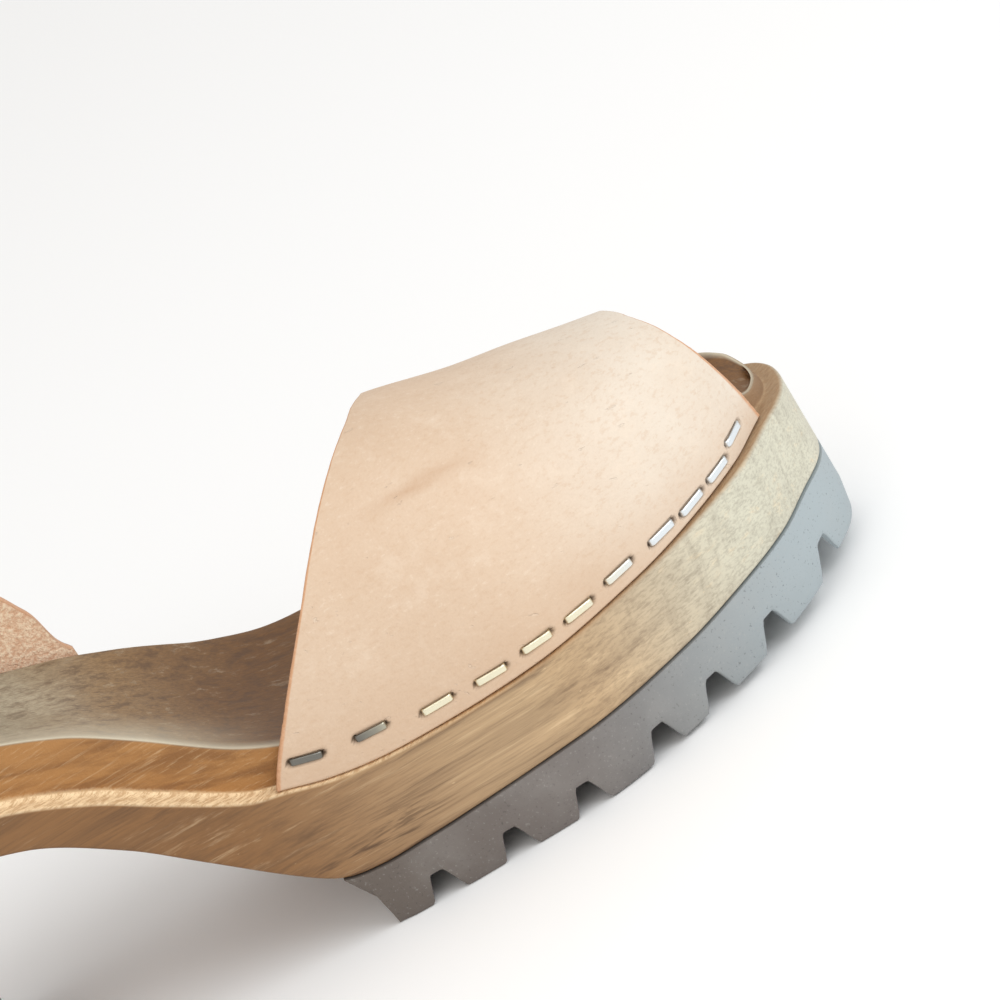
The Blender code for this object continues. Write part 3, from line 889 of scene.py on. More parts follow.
@dataclass
class WoodSole:
    """The carved sole: heel block, arch, side, rebate with its cove, and dished footbed."""

    step: float = 0.0016
    cap_steps: int = 44
    edge: float = 0.0008
    foot_edge: float = 0.0012
    bed_rows: int = 24
    wall_rows: int = 10

    def half_section(self, x: float, side: int) -> list[SectionPoint]:
        """List a section's points from the lower edge up to the footbed's edge.

        Args:
            x: The station.
            side: -1 for the outer side, 1 for the inner.

        Returns:
            The points.
        """
        along = x / LAST.length
        bottom, ledge, bed = LAST.bottom(x), LAST.ledge(x), LAST.bed(x, side)
        taper, wall, strip = LAST.taper(x), LAST.wall(x), LAST.strip(x)
        cove = read(LEVELS, "cove", along) * LAST.rebate
        lean = read(LEVELS, "lean", along) * LAST.rebate
        points = []
        for angle in (0.0, 30.0, 60.0):
            turn = math.radians(angle)
            inset = taper + self.foot_edge * (1 - math.sin(turn))
            points.append(SectionPoint(side, inset, bottom + self.foot_edge * (1 - math.cos(turn)), 0))
        for part in spread(0.0, 1.0, self.wall_rows):
            low, high = bottom + self.foot_edge, ledge - self.edge
            points.append(SectionPoint(side, taper * (1 - part) ** 1.5, low + (high - low) * part, 0))
        for angle in (30.0, 60.0, 90.0):
            turn = math.radians(angle)
            inset = self.edge * (1 - math.cos(turn))
            height = ledge - self.edge + self.edge * math.sin(turn)
            points.append(SectionPoint(side, inset, height, 0, angle / 90.0, angle / 90.0))
        for part in (0.35, 0.7, 1.0):
            inset = self.edge + (wall - self.edge) * part
            points.append(SectionPoint(side, inset, ledge, 0, 1.0, 1.0))
        for angle in (22.0, 45.0, 68.0, 90.0):
            turn = math.radians(angle)
            inset = wall + 0.6 * cove * math.sin(turn)
            height = ledge + cove * (1 - math.cos(turn))
            points.append(SectionPoint(side, inset, height, 0, 1.0, 1.0 - ease(20.0, 60.0, angle)))
        top = bed - self.edge
        for part in (0.3, 0.65, 1.0):
            height = ledge + cove + (top - ledge - cove) * part
            points.append(SectionPoint(side, wall + 0.6 * cove + lean * part, height, 0, 1.0))
        for angle in (35.0, 70.0, 90.0):
            turn = math.radians(angle)
            inset = wall + 0.6 * cove + lean + self.edge * (1 - math.cos(turn))
            height = top + self.edge * math.sin(turn)
            bed_share = ease(30.0, 60.0, angle)
            points.append(SectionPoint(side, inset, height, 0, 1 - bed_share, 0, bed_share, 1.0))
        return points

    def section(self, x: float) -> list[SectionPoint]:
        """List a whole section's points, closed: under the sole, up, across the footbed, down."""
        outer = self.half_section(x, -1)
        inner = self.half_section(x, 1)
        first, last = outer[0], outer[-1]
        under = [SectionPoint(0, first.inset, first.height, part) for part in (0.75, 0.5, 0.25)]
        depth = LAST.dish * (1 - 0.5 * ease(0.80, 1.0, x / LAST.length))
        bed = []
        for part in spread(0.0, 1.0, self.bed_rows)[1:-1]:
            edge = last.height + (inner[-1].height - last.height) * part
            hollow = depth * (1 - (2 * part - 1) ** 2)
            # The footbed's edge band, painted as a highlight by the wood's finish.
            rim = max(1 - part / 0.07, 1 - (1 - part) / 0.07, 0.0)
            bed.append(SectionPoint(0, last.inset, edge - hollow, part, 0, 0, 1.0, rim))
        return outer + bed + inner[::-1] + under + [first]

    def build(self, finish: WoodFinish) -> bpy.types.Object:
        """Carve the sole.

        Args:
            finish: The wood's finish.

        Returns:
            The piece.
        """
        xs = LAST.stations(self.step, self.cap_steps)
        sections = [self.section(x) for x in xs]

        def place(column: int, row: int) -> Vector:
            """Give the sole's point."""
            x, spot = xs[column], sections[column][row]
            if spot.side:
                point = LAST.inset(x, spot.side, spot.inset)
            else:
                outer, inner = LAST.inset(x, -1, spot.inset), LAST.inset(x, 1, spot.inset)
                point = outer.lerp(inner, spot.across)
            point.z = spot.height
            return point

        traits: Traits = {
            "routed": lambda column, row: sections[column][row].routed,
            "ledge": lambda column, row: sections[column][row].ledge,
            "bed": lambda column, row: sections[column][row].bed,
            "rim": lambda column, row: sections[column][row].rim,
        }
        bm = loft(len(xs), len(sections[0]), place, traits)
        return keep("carved_sole", bm, finish.material(), "wood_sole", 50.0)


class Groove(NamedTuple):
    """A groove between lugs: its share of the length and how it turns, in degrees."""

    along: float
    turn: float


@dataclass
class Rubber:
    """The moulded rubber: a forefoot piece with seven grooves and a small heel piece."""

    start: float = 0.1130
    rake: float = 0.0048
    depth: float = 0.0072
    groove_top: float = 0.0028
    groove_bottom: float = 0.0086
    tuck: float = 0.0010
    lip: float = 0.0007
    step: float = 0.0005
    across_rows: int = 30
    wall_rows: int = 12
    grooves: tuple[Groove, ...] = (
        Groove(0.522, 3.0),
        Groove(0.594, 3.0),
        Groove(0.667, 3.0),
        Groove(0.746, 2.0),
        Groove(0.808, 0.0),
        Groove(0.877, -3.0),
        Groove(0.950, -8.0),
    )
    heel_grooves: tuple[Groove, ...] = (Groove(0.054, 0.0),)

    def carve(self, point: Vector, grooves: Sequence[Groove]) -> float:
        """Give the share of the groove's depth at a point of the underside.

        Args:
            point: The point.
            grooves: The grooves of the piece.

        Returns:
            0 on a lug's face, 1 on a groove's floor.
        """
        deepest = 0.0
        for groove in grooves:
            x = groove.along * LAST.length
            slant = math.tan(math.radians(groove.turn)) * (point.y - LAST.side(x, -1).y)
            away = abs(point.x - x - slant)
            share = (self.groove_bottom / 2 - away) / (self.groove_bottom - self.groove_top) * 2
            share = min(max(share, 0.0), 1.0)
            deepest = max(deepest, 0.55 * share + 0.45 * share * share * (3 - 2 * share))
        return deepest

    def skin(
        self,
        xs: Sequence[float],
        grooves: Sequence[Groove],
        inset: float,
        top: Callable[[float], float],
        bend: Callable[[Vector, float], Vector],
        drawn: int,
        square: dict[int, float],
    ) -> bmesh.types.BMesh:
        """Mould a rubber piece.

        Args:
            xs: Its stations.
            grooves: Its grooves.
            inset: How far its top edge lies inside the outline.
            top: Gives its upper face's height at a station.
            bend: Moves a finished point, given its station.
            drawn: The column that is drawn together to close an end.
            square: The x of each column that is cut off square.

        Returns:
            The mesh.
        """
        across, wall = self.across_rows, self.wall_rows
        rows = 2 * (across + wall) + 1

        def lower(point: Vector) -> float:
            """Give the underside's height below a point."""
            return LAST.floor(point.x) + self.depth * self.carve(point, grooves)

        def up(x: float, side: int, part: float) -> Vector:
            """Give a point of the side wall, a part of the way up."""
            low = lower(LAST.inset(x, side, inset + self.tuck + self.lip))
            turn = math.pi / 2 * min(part / 0.16, 1.0)
            round_in = self.lip * (1 - math.sin(turn))
            height = low + self.lip * (1 - math.cos(turn))
            if part > 0.16:
                height += (top(x) - height) * (part - 0.16) / 0.84
            draft = self.tuck * max(1 - (height - LAST.floor(x)) / self.depth, 0.0)
            point = LAST.inset(x, side, inset + draft + round_in)
            point.z = height
            return point

        def spot(x: float, row: int) -> Vector:
            """Give a section's point before its ends are closed."""
            row = row % (rows - 1)
            if across <= row < across + wall:
                return up(x, 1, (row - across) / wall)
            if row >= 2 * across + wall:
                return up(x, -1, 1 - (row - 2 * across - wall) / wall)
            under = row < across
            depth = inset + (self.tuck + self.lip if under else 0.0)
            outer, inner = LAST.inset(x, -1, depth), LAST.inset(x, 1, depth)
            point = outer.lerp(inner, row / across if under else 2 - (row - wall) / across)
            point.z = lower(point) if under else top(x)
            return point

        def place(column: int, row: int) -> Vector:
            """Give a point, drawn together at the closed end."""
            x = xs[column]
            if column == drawn:
                one, two = self.pair(row % (rows - 1))
                point = (spot(x, one) + spot(x, two)) / 2
            else:
                point = spot(x, row)
            point.x = square.get(column, point.x)
            return bend(point, x)

        return loft(len(xs), rows, place)

    def pair(self, row: int) -> tuple[int, int]:
        """Give the two rows of a section that meet where it is drawn flat at a row.

        Args:
            row: The row.

        Returns:
            The row below and the row above.
        """
        across, wall = self.across_rows, self.wall_rows
        last = 2 * across + wall
        if row > last:
            return 0, last
        if across < row < across + wall:
            return across, across + wall
        return row, last - row

    def forefoot(self, finish: RubberFinish) -> bpy.types.Object:
        """Mould the forefoot's piece.

        Args:
            finish: The rubber's finish.

        Returns:
            The piece.
        """
        cap = LAST.length - LAST.toe_cap
        count = round((cap - self.start) / self.step)
        straight = spread(self.start, cap, count + 1)[:-1]
        turns = spread(0.0, math.pi / 2, 150)
        xs = [self.start] + straight + [cap + LAST.toe_cap * math.sin(turn) for turn in turns]

        def bend(point: Vector, x: float) -> Vector:
            """Rake the rear face forward towards the floor."""
            low = 1 - ease(LAST.bottom(x) - 0.0062, LAST.bottom(x), point.z)
            near = 1 - ease(self.start, self.start + 2.2 * self.rake, x)
            share = 0.78 * low + 0.22 * (1 - ease(0.0, 0.012, point.z))
            return point + Vector((self.rake * share * near, 0.0, 0.0))

        square = {0: self.start, 1: self.start}
        bm = self.skin(xs, self.grooves, 0.0, lambda x: LAST.bottom(x) - LAST.gap, bend, 0, square)
        return keep("lugged_forefoot", bm, finish.material(), "forefoot_outsole", 28.0)

    def heel(self, finish: RubberFinish) -> bpy.types.Object:
        """Mould the heel's piece.

        Args:
            finish: The rubber's finish.

        Returns:
            The piece.
        """
        front = LAST.breast - LAST.breast_run
        deepest = LAST.heel_inset + self.tuck + self.lip
        end = max(x for x in spread(0.0, front, 200) if LAST.inset(x, 1, deepest).x <= front)
        turns = spread(0.0, math.acos(1 - end / LAST.heel_cap), 60)
        xs = [LAST.heel_cap * (1 - math.cos(turn)) for turn in turns]
        xs.append(xs[-1])
        last = len(xs) - 1
        square = {last - 1: front, last: front}

        def bend(point: Vector, x: float) -> Vector:
            """Leave the point as it is."""
            return point

        bm = self.skin(
            xs, self.heel_grooves, LAST.heel_inset, lambda x: LAST.heel_tread, bend, last, square
        )
        return keep("lugged_heel", bm, finish.material(), "heel_outsole", 28.0)


# Staples


class StapleRow(NamedTuple):
    """A staple of the outer foot: share of the way from rear to front, and share of the height."""

    way: float
    height: float


OUTER_STAPLES = (
    StapleRow(0.070, 1.37),
    StapleRow(0.181, 1.40),
    StapleRow(0.295, 0.98),
    StapleRow(0.394, 0.83),
    StapleRow(0.485, 0.87),
    StapleRow(0.569, 0.74),
    StapleRow(0.656, 0.86),
    StapleRow(0.749, 0.72),
    StapleRow(0.818, 0.57),
    StapleRow(0.886, 0.57),
    StapleRow(0.944, 0.96),
)


@dataclass(frozen=True)
class Staple:
    """A driven staple: two flat legs and a crown pressed into the leather."""

    node: str
    middle: Vector
    along: Vector
    out: Vector
    crown: float = 0.0074
    width: float = 0.0016
    wire: float = 0.0007
    leg: float = 0.0078
    proud: float = 0.0003
    bend: float = 0.0006

    @property
    def up(self) -> Vector:
        """The direction across the crown, away from the floor."""
        return self.out.cross(self.along)

    def local(self, point: Vector) -> tuple[float, float, float]:
        """Give a point's place from the staple's middle: along the crown, across it, outwards."""
        away = point - self.middle
        return away.dot(self.along), away.dot(self.up), away.dot(self.out)

    def build(self, material: bpy.types.Material, luck: random.Random) -> bpy.types.Object:
        """Bend the wire.

        Args:
            material: The wire's finish.
            luck: Where its small tilt comes from.

        Returns:
            The piece.
        """
        reach = (self.crown - self.wire) / 2
        centre = self.proud - self.wire / 2
        corner = reach - self.bend
        path: list[tuple[float, float, float]] = [(-reach, centre - self.leg, 90.0)]
        path.append((-reach, centre - self.bend, 90.0))
        for angle in (60.0, 30.0, 0.0):
            turn = math.radians(angle)
            x = -corner - self.bend * math.sin(turn)
            path.append((x, centre - self.bend * (1 - math.cos(turn)), angle))
        path += [(x * 0.5, centre, 0.0) for x in (-corner, corner)]
        path += [(-x, y, -angle) for x, y, angle in path[4::-1]]
        path = [path[0]] + path + [path[-1]]
        tilt = Matrix.Rotation(math.radians(luck.uniform(-3.5, 3.5)), 3, self.out)
        sink = luck.uniform(-0.00012, 0.00005)
        half, thick, soft = self.width / 2, self.wire / 2, 0.00018
        rim = [
            (-half + soft, -thick), (half - soft, -thick), (half, -thick + soft),
            (half, thick - soft), (half - soft, thick), (-half + soft, thick),
            (-half, thick - soft), (-half, -thick + soft),
        ]

        def place(column: int, row: int) -> Vector:
            """Give a point of the wire's skin."""
            a, o, angle = path[column]
            across, through = rim[row % len(rim)]
            if column in (0, len(path) - 1):
                across, through = 0.0, 0.0
            turn = math.radians(angle)
            a -= through * math.sin(turn)
            o += through * math.cos(turn) + sink
            spot = self.along * a + self.out * o + self.up * across
            return self.middle + tilt @ spot

        bm = loft(len(path), len(rim) + 1, place)
        return keep(f"{self.node}_wire", bm, material, self.node, 35.0)


@dataclass(frozen=True)
class Seats:
    """Where the staples sit on the two leather pieces."""

    height: float = 0.0046
    inner_count: int = 9
    quarter_count: int = 12
    margin: float = 0.045

    def point(self, x: float, side: int, share: float = 1.0) -> Vector:
        """Give the point of a leather's outer face at the staples' height."""
        point = LAST.inset(x, side, LAST.strip(x))
        point.z = LAST.ledge(x) + LAST.seat_gap + self.height * share
        return point

    @staticmethod
    def staple(node: str, side: int, before: Vector, middle: Vector, after: Vector) -> Staple:
        """Make a staple from the points at its two ends and in its middle."""
        along = (after - before).normalized()
        out = along.cross(Vector((0.0, 0.0, 1.0))).normalized() * -side
        return Staple(node, middle, along, out)

    def outer(self, foot: tuple[float, float]) -> list[Staple]:
        """List the outer foot's staples, between its rear and front share of the length."""
        rows = [(row.way, row.height) for row in OUTER_STAPLES]
        return self._foot("outer", -1, foot, rows)

    def inner(self, foot: tuple[float, float]) -> list[Staple]:
        """List the inner foot's staples, spaced evenly."""
        ways = spread(OUTER_STAPLES[0].way, OUTER_STAPLES[-1].way, self.inner_count)
        return self._foot("inner", 1, foot, [(way, 1.0) for way in ways])

    def _foot(
        self, name: str, side: int, foot: tuple[float, float], rows: list[tuple[float, float]]
    ) -> list[Staple]:
        """List one foot's staples."""
        made = []
        half = Staple.crown / 2
        for number, (way, share) in enumerate(rows, 1):
            x = (foot[0] + (foot[1] - foot[0]) * way) * LAST.length
            ends = [self.point(x + step, side, share) for step in (-half, 0.0, half)]
            made.append(self.staple(f"vamp_staple_{name}_{number:02d}", side, *ends))
        return made

    def quarter(self, round_heel: Callable[[float], tuple[float, int]]) -> list[Staple]:
        """List the heel quarter's staples, from the inner end round to the outer one."""
        made = []
        half = self.margin / 2
        for number, way in enumerate(spread(self.margin, 1 - self.margin, self.quarter_count), 1):
            ends = [self.point(*round_heel(way + step)) for step in (-half, 0.0, half)]
            made.append(self.staple(f"quarter_staple_{number:02d}", -1, *ends))
        return made


# Leather


class Arch(NamedTuple):
    """The vamp's rear and front edge at a turn from the outer to the inner foot."""

    turn: float
    rear: float
    front: float


class CrestRow(NamedTuple):
    """The height of the vamp's crest at a share of the length."""

    along: float
    height: float


class TopRow(NamedTuple):
    """The heel quarter's height at a share of the way round it."""

    way: float
    height: float


VAMP_EDGES = (
    Arch(0.00, 0.447, 0.972),
    Arch(0.10, 0.502, 0.966),
    Arch(0.20, 0.554, 0.958),
    Arch(0.30, 0.597, 0.947),
    Arch(0.40, 0.633, 0.932),
    Arch(0.50, 0.661, 0.913),
    Arch(0.60, 0.676, 0.897),
    Arch(0.75, 0.655, 0.893),
    Arch(0.90, 0.590, 0.908),
    Arch(1.00, 0.500, 0.920),
)

CREST = (
    CrestRow(0.440, 1.17),
    CrestRow(0.560, 1.09),
    CrestRow(0.680, 0.95),
    CrestRow(0.760, 0.81),
    CrestRow(0.830, 0.71),
    CrestRow(0.900, 0.61),
    CrestRow(0.970, 0.50),
)

QUARTER_TOP = (
    TopRow(0.000, 0.19),
    TopRow(0.012, 0.24),
    TopRow(0.018, 0.35),
    TopRow(0.028, 0.41),
    TopRow(0.040, 0.47),
    TopRow(0.100, 0.64),
    TopRow(0.200, 0.80),
    TopRow(0.350, 0.94),
    TopRow(0.500, 1.00),
    TopRow(0.650, 0.94),
    TopRow(0.800, 0.80),
    TopRow(0.900, 0.64),
    TopRow(0.960, 0.47),
    TopRow(0.982, 0.35),
    TopRow(1.000, 0.22),
)


class Rim(NamedTuple):
    """A point of a leather's section: share of its run, step from that edge, depth, kind."""

    share: float
    step: float
    depth: float
    edge: float
    flesh: float


@dataclass
class Leather:
    """What the two leather pieces share: a thick sheet with cut edges and pressed-in staples."""

    thick: float = 0.0028
    soft: float = 0.0006
    press: float = 0.00055
    shoulder: float = 0.0010
    ends: tuple[tuple[float, float], ...] = ((0.0, 0.0), (0.72, 0.0), (1.0, 0.0004))

    def section(self, shares: Sequence[float]) -> list[Rim]:
        """List a section's points: out along the face, round the edge and back on the flesh side.

        Args:
            shares: Shares of the run along the face.

        Returns:
            The points, the first one repeated at the end.
        """
        turns = [math.radians(angle) for angle in (0.0, 30.0, 60.0, 90.0)]
        curve = [(self.soft * (1 - math.sin(t)), self.soft * (1 - math.cos(t))) for t in turns]
        face = [Rim(0.0, step, depth, 1.0, 0.0) for step, depth in reversed(curve)]
        face += [Rim(share, 0.0, 0.0, 0.0, 0.0) for share in shares]
        face += [Rim(1.0, -step, depth, 1.0, 0.0) for step, depth in curve]
        back = [Rim(r.share, r.step, self.thick - r.depth, r.edge, 1 - r.edge) for r in reversed(face)]
        return face + back + face[:1]

    def squeeze(self, depth: float, share: float) -> float:
        """Move a depth towards the sheet's middle, where its end is rounded or closed."""
        return self.thick / 2 + (depth - self.thick / 2) * share

    def pressed(self, point: Vector, staples: Sequence[Staple]) -> tuple[float, float, float]:
        """Read how the staples press the face in at a point.

        Args:
            point: The point, measured from the heel.
            staples: The staples near it.

        Returns:
            How deep the face is pressed in, how much painted shade its slot and leg holes get, and how puffed
            it is there.
        """
        depth, dark, puff = 0.0, 0.0, 0.0
        for staple in staples:
            a, u, o = staple.local(point)
            if abs(a) > 0.008 or abs(u) > 0.005 or abs(o) > 0.006:
                continue
            past = max(abs(a) - staple.crown / 2, 0.0)
            beside = max(abs(u) - staple.width / 2, 0.0)
            away = math.hypot(past, beside)
            slot = 1 - ease(0.00005, 0.00055, away)
            foot = math.hypot((abs(a) - staple.crown / 2 - 0.0001) / 0.0009, u / 0.0009)
            pit = 1 - ease(0.35, 1.0, foot)
            ring = math.exp(-(((away - 0.0016) / 0.0006) ** 2))
            depth = max(depth, self.press * slot + 0.0009 * pit)
            # Painted shade: dark in the leg holes, a little darker along the sunk slot.
            dark = max(dark, pit, 0.35 * slot)
            puff = max(puff, ring)
        return depth, dark, puff


@dataclass
class Vamp(Leather):
    """The leather over the instep, bent down to the ledge on both sides."""

    height: float = 0.0565
    fullness: float = 2.25
    foot_band: float = 0.090
    foot_columns: int = 38
    crest_columns: int = 56
    run_rows: int = 250

    @property
    def feet(self) -> tuple[tuple[float, float], tuple[float, float]]:
        """The outer and the inner foot's rear and front share of the length."""
        first, last = VAMP_EDGES[0], VAMP_EDGES[-1]
        return (first.rear, first.front), (last.rear, last.front)

    def surface(self, turn: float, x: float, depth: float) -> Vector:
        """Give a point of the vamp.

        Args:
            turn: 0 at the outer foot, 1 at the inner foot.
            x: The station.
            depth: How far under the outer face.

        Returns:
            The point, measured from the heel.
        """
        angle = math.pi * turn
        cosine = math.cos(angle)
        across = math.copysign(abs(cosine) ** (2 / self.fullness), cosine)
        up = math.sin(angle) ** (2 / self.fullness) if 0.0 < turn < 1.0 else 0.0
        outer = LAST.inset(x, -1, LAST.strip(x) + depth)
        inner = LAST.inset(x, 1, LAST.strip(x) + depth)
        point = outer.lerp(inner, (1 - across) / 2)
        crest = read(CREST, "height", x / LAST.length) * self.height - depth
        point.z = LAST.ledge(x) + LAST.seat_gap + crest * up
        return point

    def columns(self) -> list[tuple[float, float, float]]:
        """List the turns from foot to foot, each with its squeeze and lift."""
        band = spread(0.0, self.foot_band, self.foot_columns)[1:]
        crest = spread(self.foot_band, 0.5, self.crest_columns // 2)[1:-1]
        half = [(0.0, squeeze, lift) for squeeze, lift in self.ends]
        half += [(turn, 1.0, 0.0) for turn in band + crest]
        mirror = [(1 - turn, squeeze, lift) for turn, squeeze, lift in reversed(half)]
        return half + [(0.5, 1.0, 0.0)] + mirror

    def build(self, finish: LeatherFinish, staples: Sequence[Staple]) -> bpy.types.Object:
        """Cut and bend the vamp.

        Args:
            finish: The leather's finish.
            staples: The staples that hold it.

        Returns:
            The piece.
        """
        columns = self.columns()
        section = self.section(spread(0.008, 0.992, self.run_rows))

        def bare(column: int, row: int) -> Vector:
            """Give a point before the staples press it."""
            turn, squeeze, lift = columns[column]
            rim = section[row]
            rear = read(VAMP_EDGES, "rear", turn) * LAST.length
            front = read(VAMP_EDGES, "front", turn) * LAST.length
            x = rear + (front - rear) * rim.share + rim.step
            wave = noise.noise(Vector((x * 24, turn * 3.0, 0.3))) * 0.00035
            wave *= ease(0.03, 0.2, min(turn, 1 - turn))
            rough = noise.noise(Vector((x * 900, turn * 160, rim.depth * 900))) * 0.00010 * rim.edge
            point = self.surface(turn, x + rough, self.squeeze(rim.depth, squeeze) + wave)
            return point + Vector((0.0, 0.0, lift))

        def place(column: int, row: int) -> Vector:
            """Give a point, pressed in by the staples."""
            point = bare(column, row)
            turn = columns[column][0]
            rim = section[row]
            if rim.flesh or rim.edge or self.foot_band < turn < 1 - self.foot_band:
                return point
            side = -1 if turn < 0.5 else 1
            return point - LAST.outward(point.x, side) * self.pressed(point, staples)[0]

        def near_foot(column: int, row: int) -> float:
            """Give how near the lower edge a point of the face is."""
            turn = columns[column][0]
            return 1 - ease(0.0, 0.12, min(turn, 1 - turn))

        def stain(column: int, row: int) -> float:
            """Give the soft brown smudge behind the instep."""
            rim = section[row]
            turn = columns[column][0]
            if rim.flesh:
                return 0.0
            drift = turn - 0.262 - 0.118 * rim.share
            return math.exp(-((drift / 0.012) ** 2) - ((rim.share - 0.26) / 0.11) ** 2)

        traits: Traits = {
            "edge": lambda column, row: max(section[row].edge, 1 - columns[column][1]),
            "flesh": lambda column, row: section[row].flesh,
            "low": near_foot,
            "stain": stain,
            "hole_painted_shade": lambda column, row: self.pressed_painted_shade(bare(column, row), section[row], staples),
            "puff": lambda column, row: self.pressed_puff(bare(column, row), section[row], staples),
        }
        bm = loft(len(columns), len(section), place, traits)
        return keep("instep_leather", bm, finish.material(), "vamp", 60.0)

    def pressed_painted_shade(self, point: Vector, rim: Rim, staples: Sequence[Staple]) -> float:
        """Give the painted shade in a staple's slot and leg holes at a point near it."""
        return 0.0 if rim.flesh or rim.edge else self.pressed(point, staples)[1]

    def pressed_puff(self, point: Vector, rim: Rim, staples: Sequence[Staple]) -> float:
        """Give how puffed the face is at a point near a staple."""
        return 0.0 if rim.flesh or rim.edge else self.pressed(point, staples)[2]


@dataclass
class Quarter(Leather):
    """The leather round the heel, highest at the back."""

    height: float = 0.058
    lean: float = 0.006
    inner_end: float = 0.336
    outer_end: float = 0.222
    foot: float = 0.009
    foot_rows: int = 20
    top_rows: int = 26
    ways: int = 330

    def round_heel(self, way: float) -> tuple[float, int]:
        """Give the station and side at a share of the way from the inner to the outer end."""
        quarter = math.pi / 2 * LAST.heel_cap
        inner = self.inner_end * LAST.length - LAST.heel_cap
        outer = self.outer_end * LAST.length - LAST.heel_cap
        travel = way * (inner + 2 * quarter + outer)
        if travel < inner:
            return self.inner_end * LAST.length - travel, 1
        travel -= inner
        if travel < quarter:
            return LAST.heel_cap * (1 - math.sin(travel / LAST.heel_cap)), 1
        travel -= quarter
        if travel < quarter:
            return LAST.heel_cap * (1 - math.cos(travel / LAST.heel_cap)), -1
        return LAST.heel_cap + travel - quarter, -1

    def surface(self, way: float, rise: float, depth: float) -> Vector:
        """Give a point of the quarter.

        Args:
            way: Share of the way round.
            rise: Height over its seat.
            depth: How far under the outer face.

        Returns:
            The point, measured from the heel.
        """
        x, side = self.round_heel(way)
        lean = self.lean * (rise / self.height) ** 2
        point = LAST.inset(x, side, LAST.strip(x) + depth + lean)
        point.z = LAST.ledge(x) + LAST.seat_gap + rise
        return point

    def build(self, finish: LeatherFinish, staples: Sequence[Staple]) -> bpy.types.Object:
        """Cut and bend the quarter.

        Args:
            finish: The leather's finish.
            staples: The staples that hold it.

        Returns:
            The piece.
        """
        ways = [part - math.sin(2 * math.pi * part) / (2 * math.pi) * 0.45
                for part in spread(0.0, 1.0, self.ways)]
        columns = [(0.0, squeeze) for squeeze, _ in self.ends[:2]]
        columns += [(way, 1.0) for way in ways]
        columns += [(1.0, squeeze) for squeeze, _ in reversed(self.ends[:2])]
        shares = spread(0.02, 0.5, self.foot_rows) + spread(0.5, 0.98, self.top_rows)[1:]
        section = self.section(shares)

        def bare(column: int, row: int) -> Vector:
            """Give a point before the staples press it."""
            way, squeeze = columns[column]
            rim = section[row]
            top = read(QUARTER_TOP, "height", way) * self.height
            low = min(2 * rim.share, 1.0) * self.foot
            rise = low + max(2 * rim.share - 1, 0.0) * (top - self.foot) + rim.step
            wave = noise.noise(Vector((way * 9, rise * 30, 0.7))) * 0.0004 * ease(0.01, 0.03, rise)
            return self.surface(way, rise, self.squeeze(rim.depth, squeeze) + wave)

        def place(column: int, row: int) -> Vector:
            """Give a point, pressed in by the staples."""
            point = bare(column, row)
            rim = section[row]
            if rim.flesh or rim.edge or rim.share > 0.5:
                return point
            x, side = self.round_heel(columns[column][0])
            return point - LAST.outward(x, side) * self.pressed(point, staples)[0]

        def mark(index: int) -> Callable[[int, int], float]:
            """Read what the staples do to the face: 1 for the painted shade in their slots and holes, 2 for
            puffed.
            """

            def value(column: int, row: int) -> float:
                """Give it at a point."""
                rim = section[row]
                if rim.flesh or rim.edge or rim.share > 0.5:
                    return 0.0
                return self.pressed(bare(column, row), staples)[index]

            return value

        traits: Traits = {
            "edge": lambda column, row: max(section[row].edge, 1 - columns[column][1]),
            "flesh": lambda column, row: section[row].flesh,
            "low": lambda column, row: 1 - ease(0.0, 0.6, section[row].share),
            "stain": lambda column, row: 0.0,
            "hole_painted_shade": mark(1),
            "puff": mark(2),
        }
        bm = loft(len(columns), len(section), place, traits)
        return keep("heel_leather", bm, finish.material(), "heel_quarter", 60.0)


# Studio


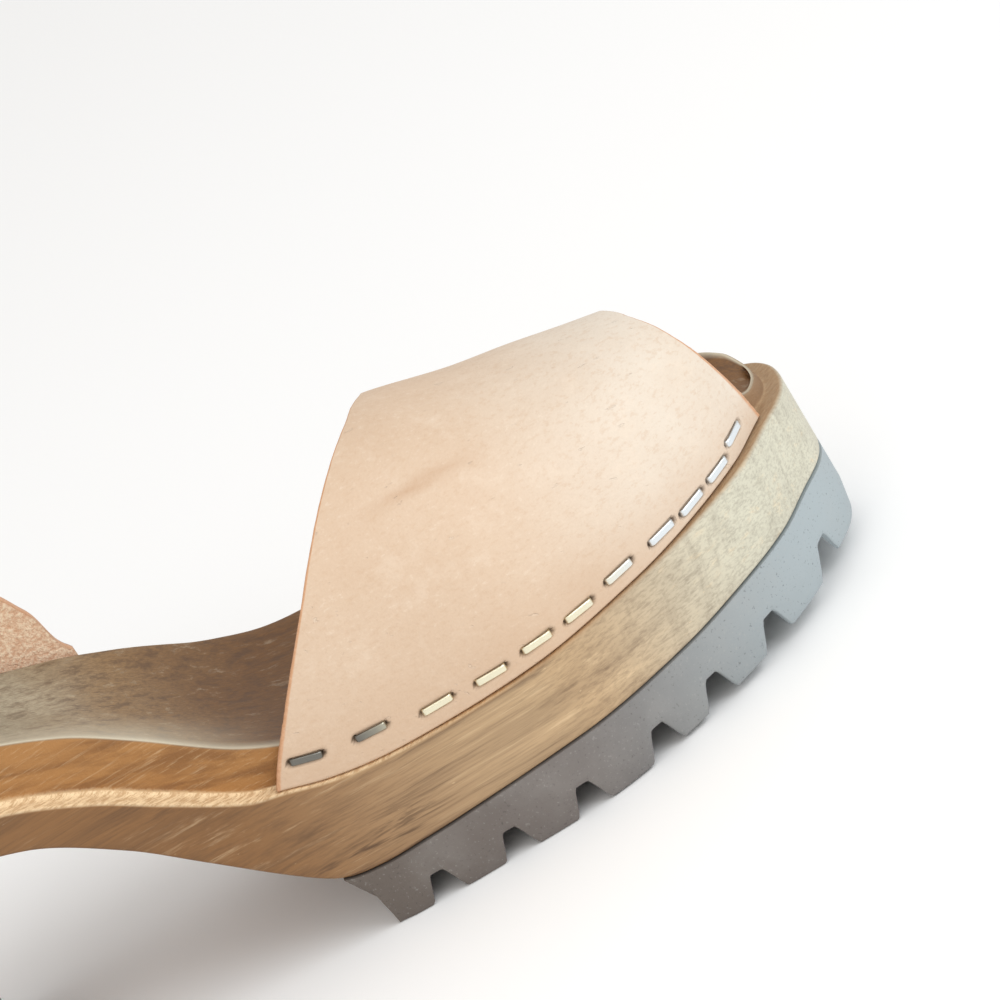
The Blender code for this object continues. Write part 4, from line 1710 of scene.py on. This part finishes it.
@dataclass(frozen=True)
class Studio:
    """The floor, the soft lights and the camera at the photograph's angle."""

    azimuth: float = 2.15
    elevation: float = 24.23
    roll: float = 32.35
    lens: float = 149.589
    eye: tuple[float, float, float] = (0.08914, -0.82538, 0.42710)
    floor_size: float = 12.0

    def camera(self) -> None:
        """Stand the camera where the photograph was taken, rolled as it was held."""
        azimuth, elevation = math.radians(self.azimuth), math.radians(self.elevation)
        back = Vector((
            math.sin(azimuth) * math.cos(elevation),
            -math.cos(azimuth) * math.cos(elevation),
            math.sin(elevation),
        ))
        level = Vector((math.cos(azimuth), math.sin(azimuth), 0.0))
        frame = Matrix((level, back.cross(level), back)).transposed()
        data = bpy.data.cameras.new("camera")
        data.lens = self.lens
        data.clip_end = 50.0
        camera = bpy.data.objects.new("camera", data)
        bpy.context.scene.collection.objects.link(camera)
        roll = Matrix.Rotation(math.radians(-self.roll), 3, "Z")
        camera.matrix_world = Matrix.Translation(self.eye) @ (frame @ roll).to_4x4()
        bpy.context.scene.camera = camera

    def lamp(self, name: str, spot: Colour, size: float, power: float, colour: Colour) -> None:
        """Hang a soft square lamp that looks at the shoe.

        Args:
            name: The lamp's name.
            spot: Where it hangs.
            size: Its side.
            power: Its power in watts.
            colour: Its colour.
        """
        data = bpy.data.lights.new(name, "AREA")
        data.size = size
        data.energy = power
        data.color = colour
        lamp = bpy.data.objects.new(name, data)
        bpy.context.scene.collection.objects.link(lamp)
        aim = Vector((0.02, 0.0, 0.05)) - Vector(spot)
        lamp.matrix_world = Matrix.Translation(spot) @ aim.to_track_quat("-Z", "Y").to_matrix().to_4x4()

    def build(self) -> None:
        """Set up the floor, the world, the lamps and the camera."""
        scene = bpy.context.scene
        scene.view_settings.view_transform = "Standard"
        bm = bmesh.new()
        half = self.floor_size / 2
        bmesh.ops.create_grid(bm, x_segments=1, y_segments=1, size=half)
        mesh = bpy.data.meshes.new("studio_floor")
        bm.to_mesh(mesh)
        bm.free()
        mesh.materials.append(FloorFinish().material())
        floor = bpy.data.objects.new("studio_floor", mesh)
        scene.collection.objects.link(floor)
        world = bpy.data.worlds.new("soft_room")
        world.use_nodes = True
        sky = world.node_tree.nodes["Background"]
        sky.inputs["Color"].default_value = (1.0, 0.985, 0.965, 1.0)
        sky.inputs["Strength"].default_value = 0.78
        scene.world = world
        self.lamp("window", (1.05, -0.75, 1.05), 1.1, 12.0, (0.93, 0.97, 1.0))
        self.lamp("front", (-0.25, -1.25, 1.15), 1.3, 5.0, (1.0, 0.97, 0.93))
        self.camera()


def main() -> None:
    """Load the frame, build every piece and set up the studio."""
    logging.basicConfig(level=logging.INFO, format="%(name)s: %(message)s")
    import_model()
    luck = random.Random(7)
    vamp, quarter, seats = Vamp(), Quarter(), Seats()
    outer, inner = vamp.feet
    vamp_staples = seats.outer(outer) + seats.inner(inner)
    quarter_staples = seats.quarter(quarter.round_heel)
    WoodSole().build(WoodFinish())
    rubber = Rubber()
    rubber.forefoot(RubberFinish())
    rubber.heel(RubberFinish())
    vamp.build(LeatherFinish("vamp_hide"), vamp_staples)
    quarter.build(LeatherFinish("quarter_hide"), quarter_staples)
    wire = StapleFinish().material()
    for staple in vamp_staples + quarter_staples:
        staple.build(wire, luck)
    Studio().build()


if __name__ == "__main__":
    main()
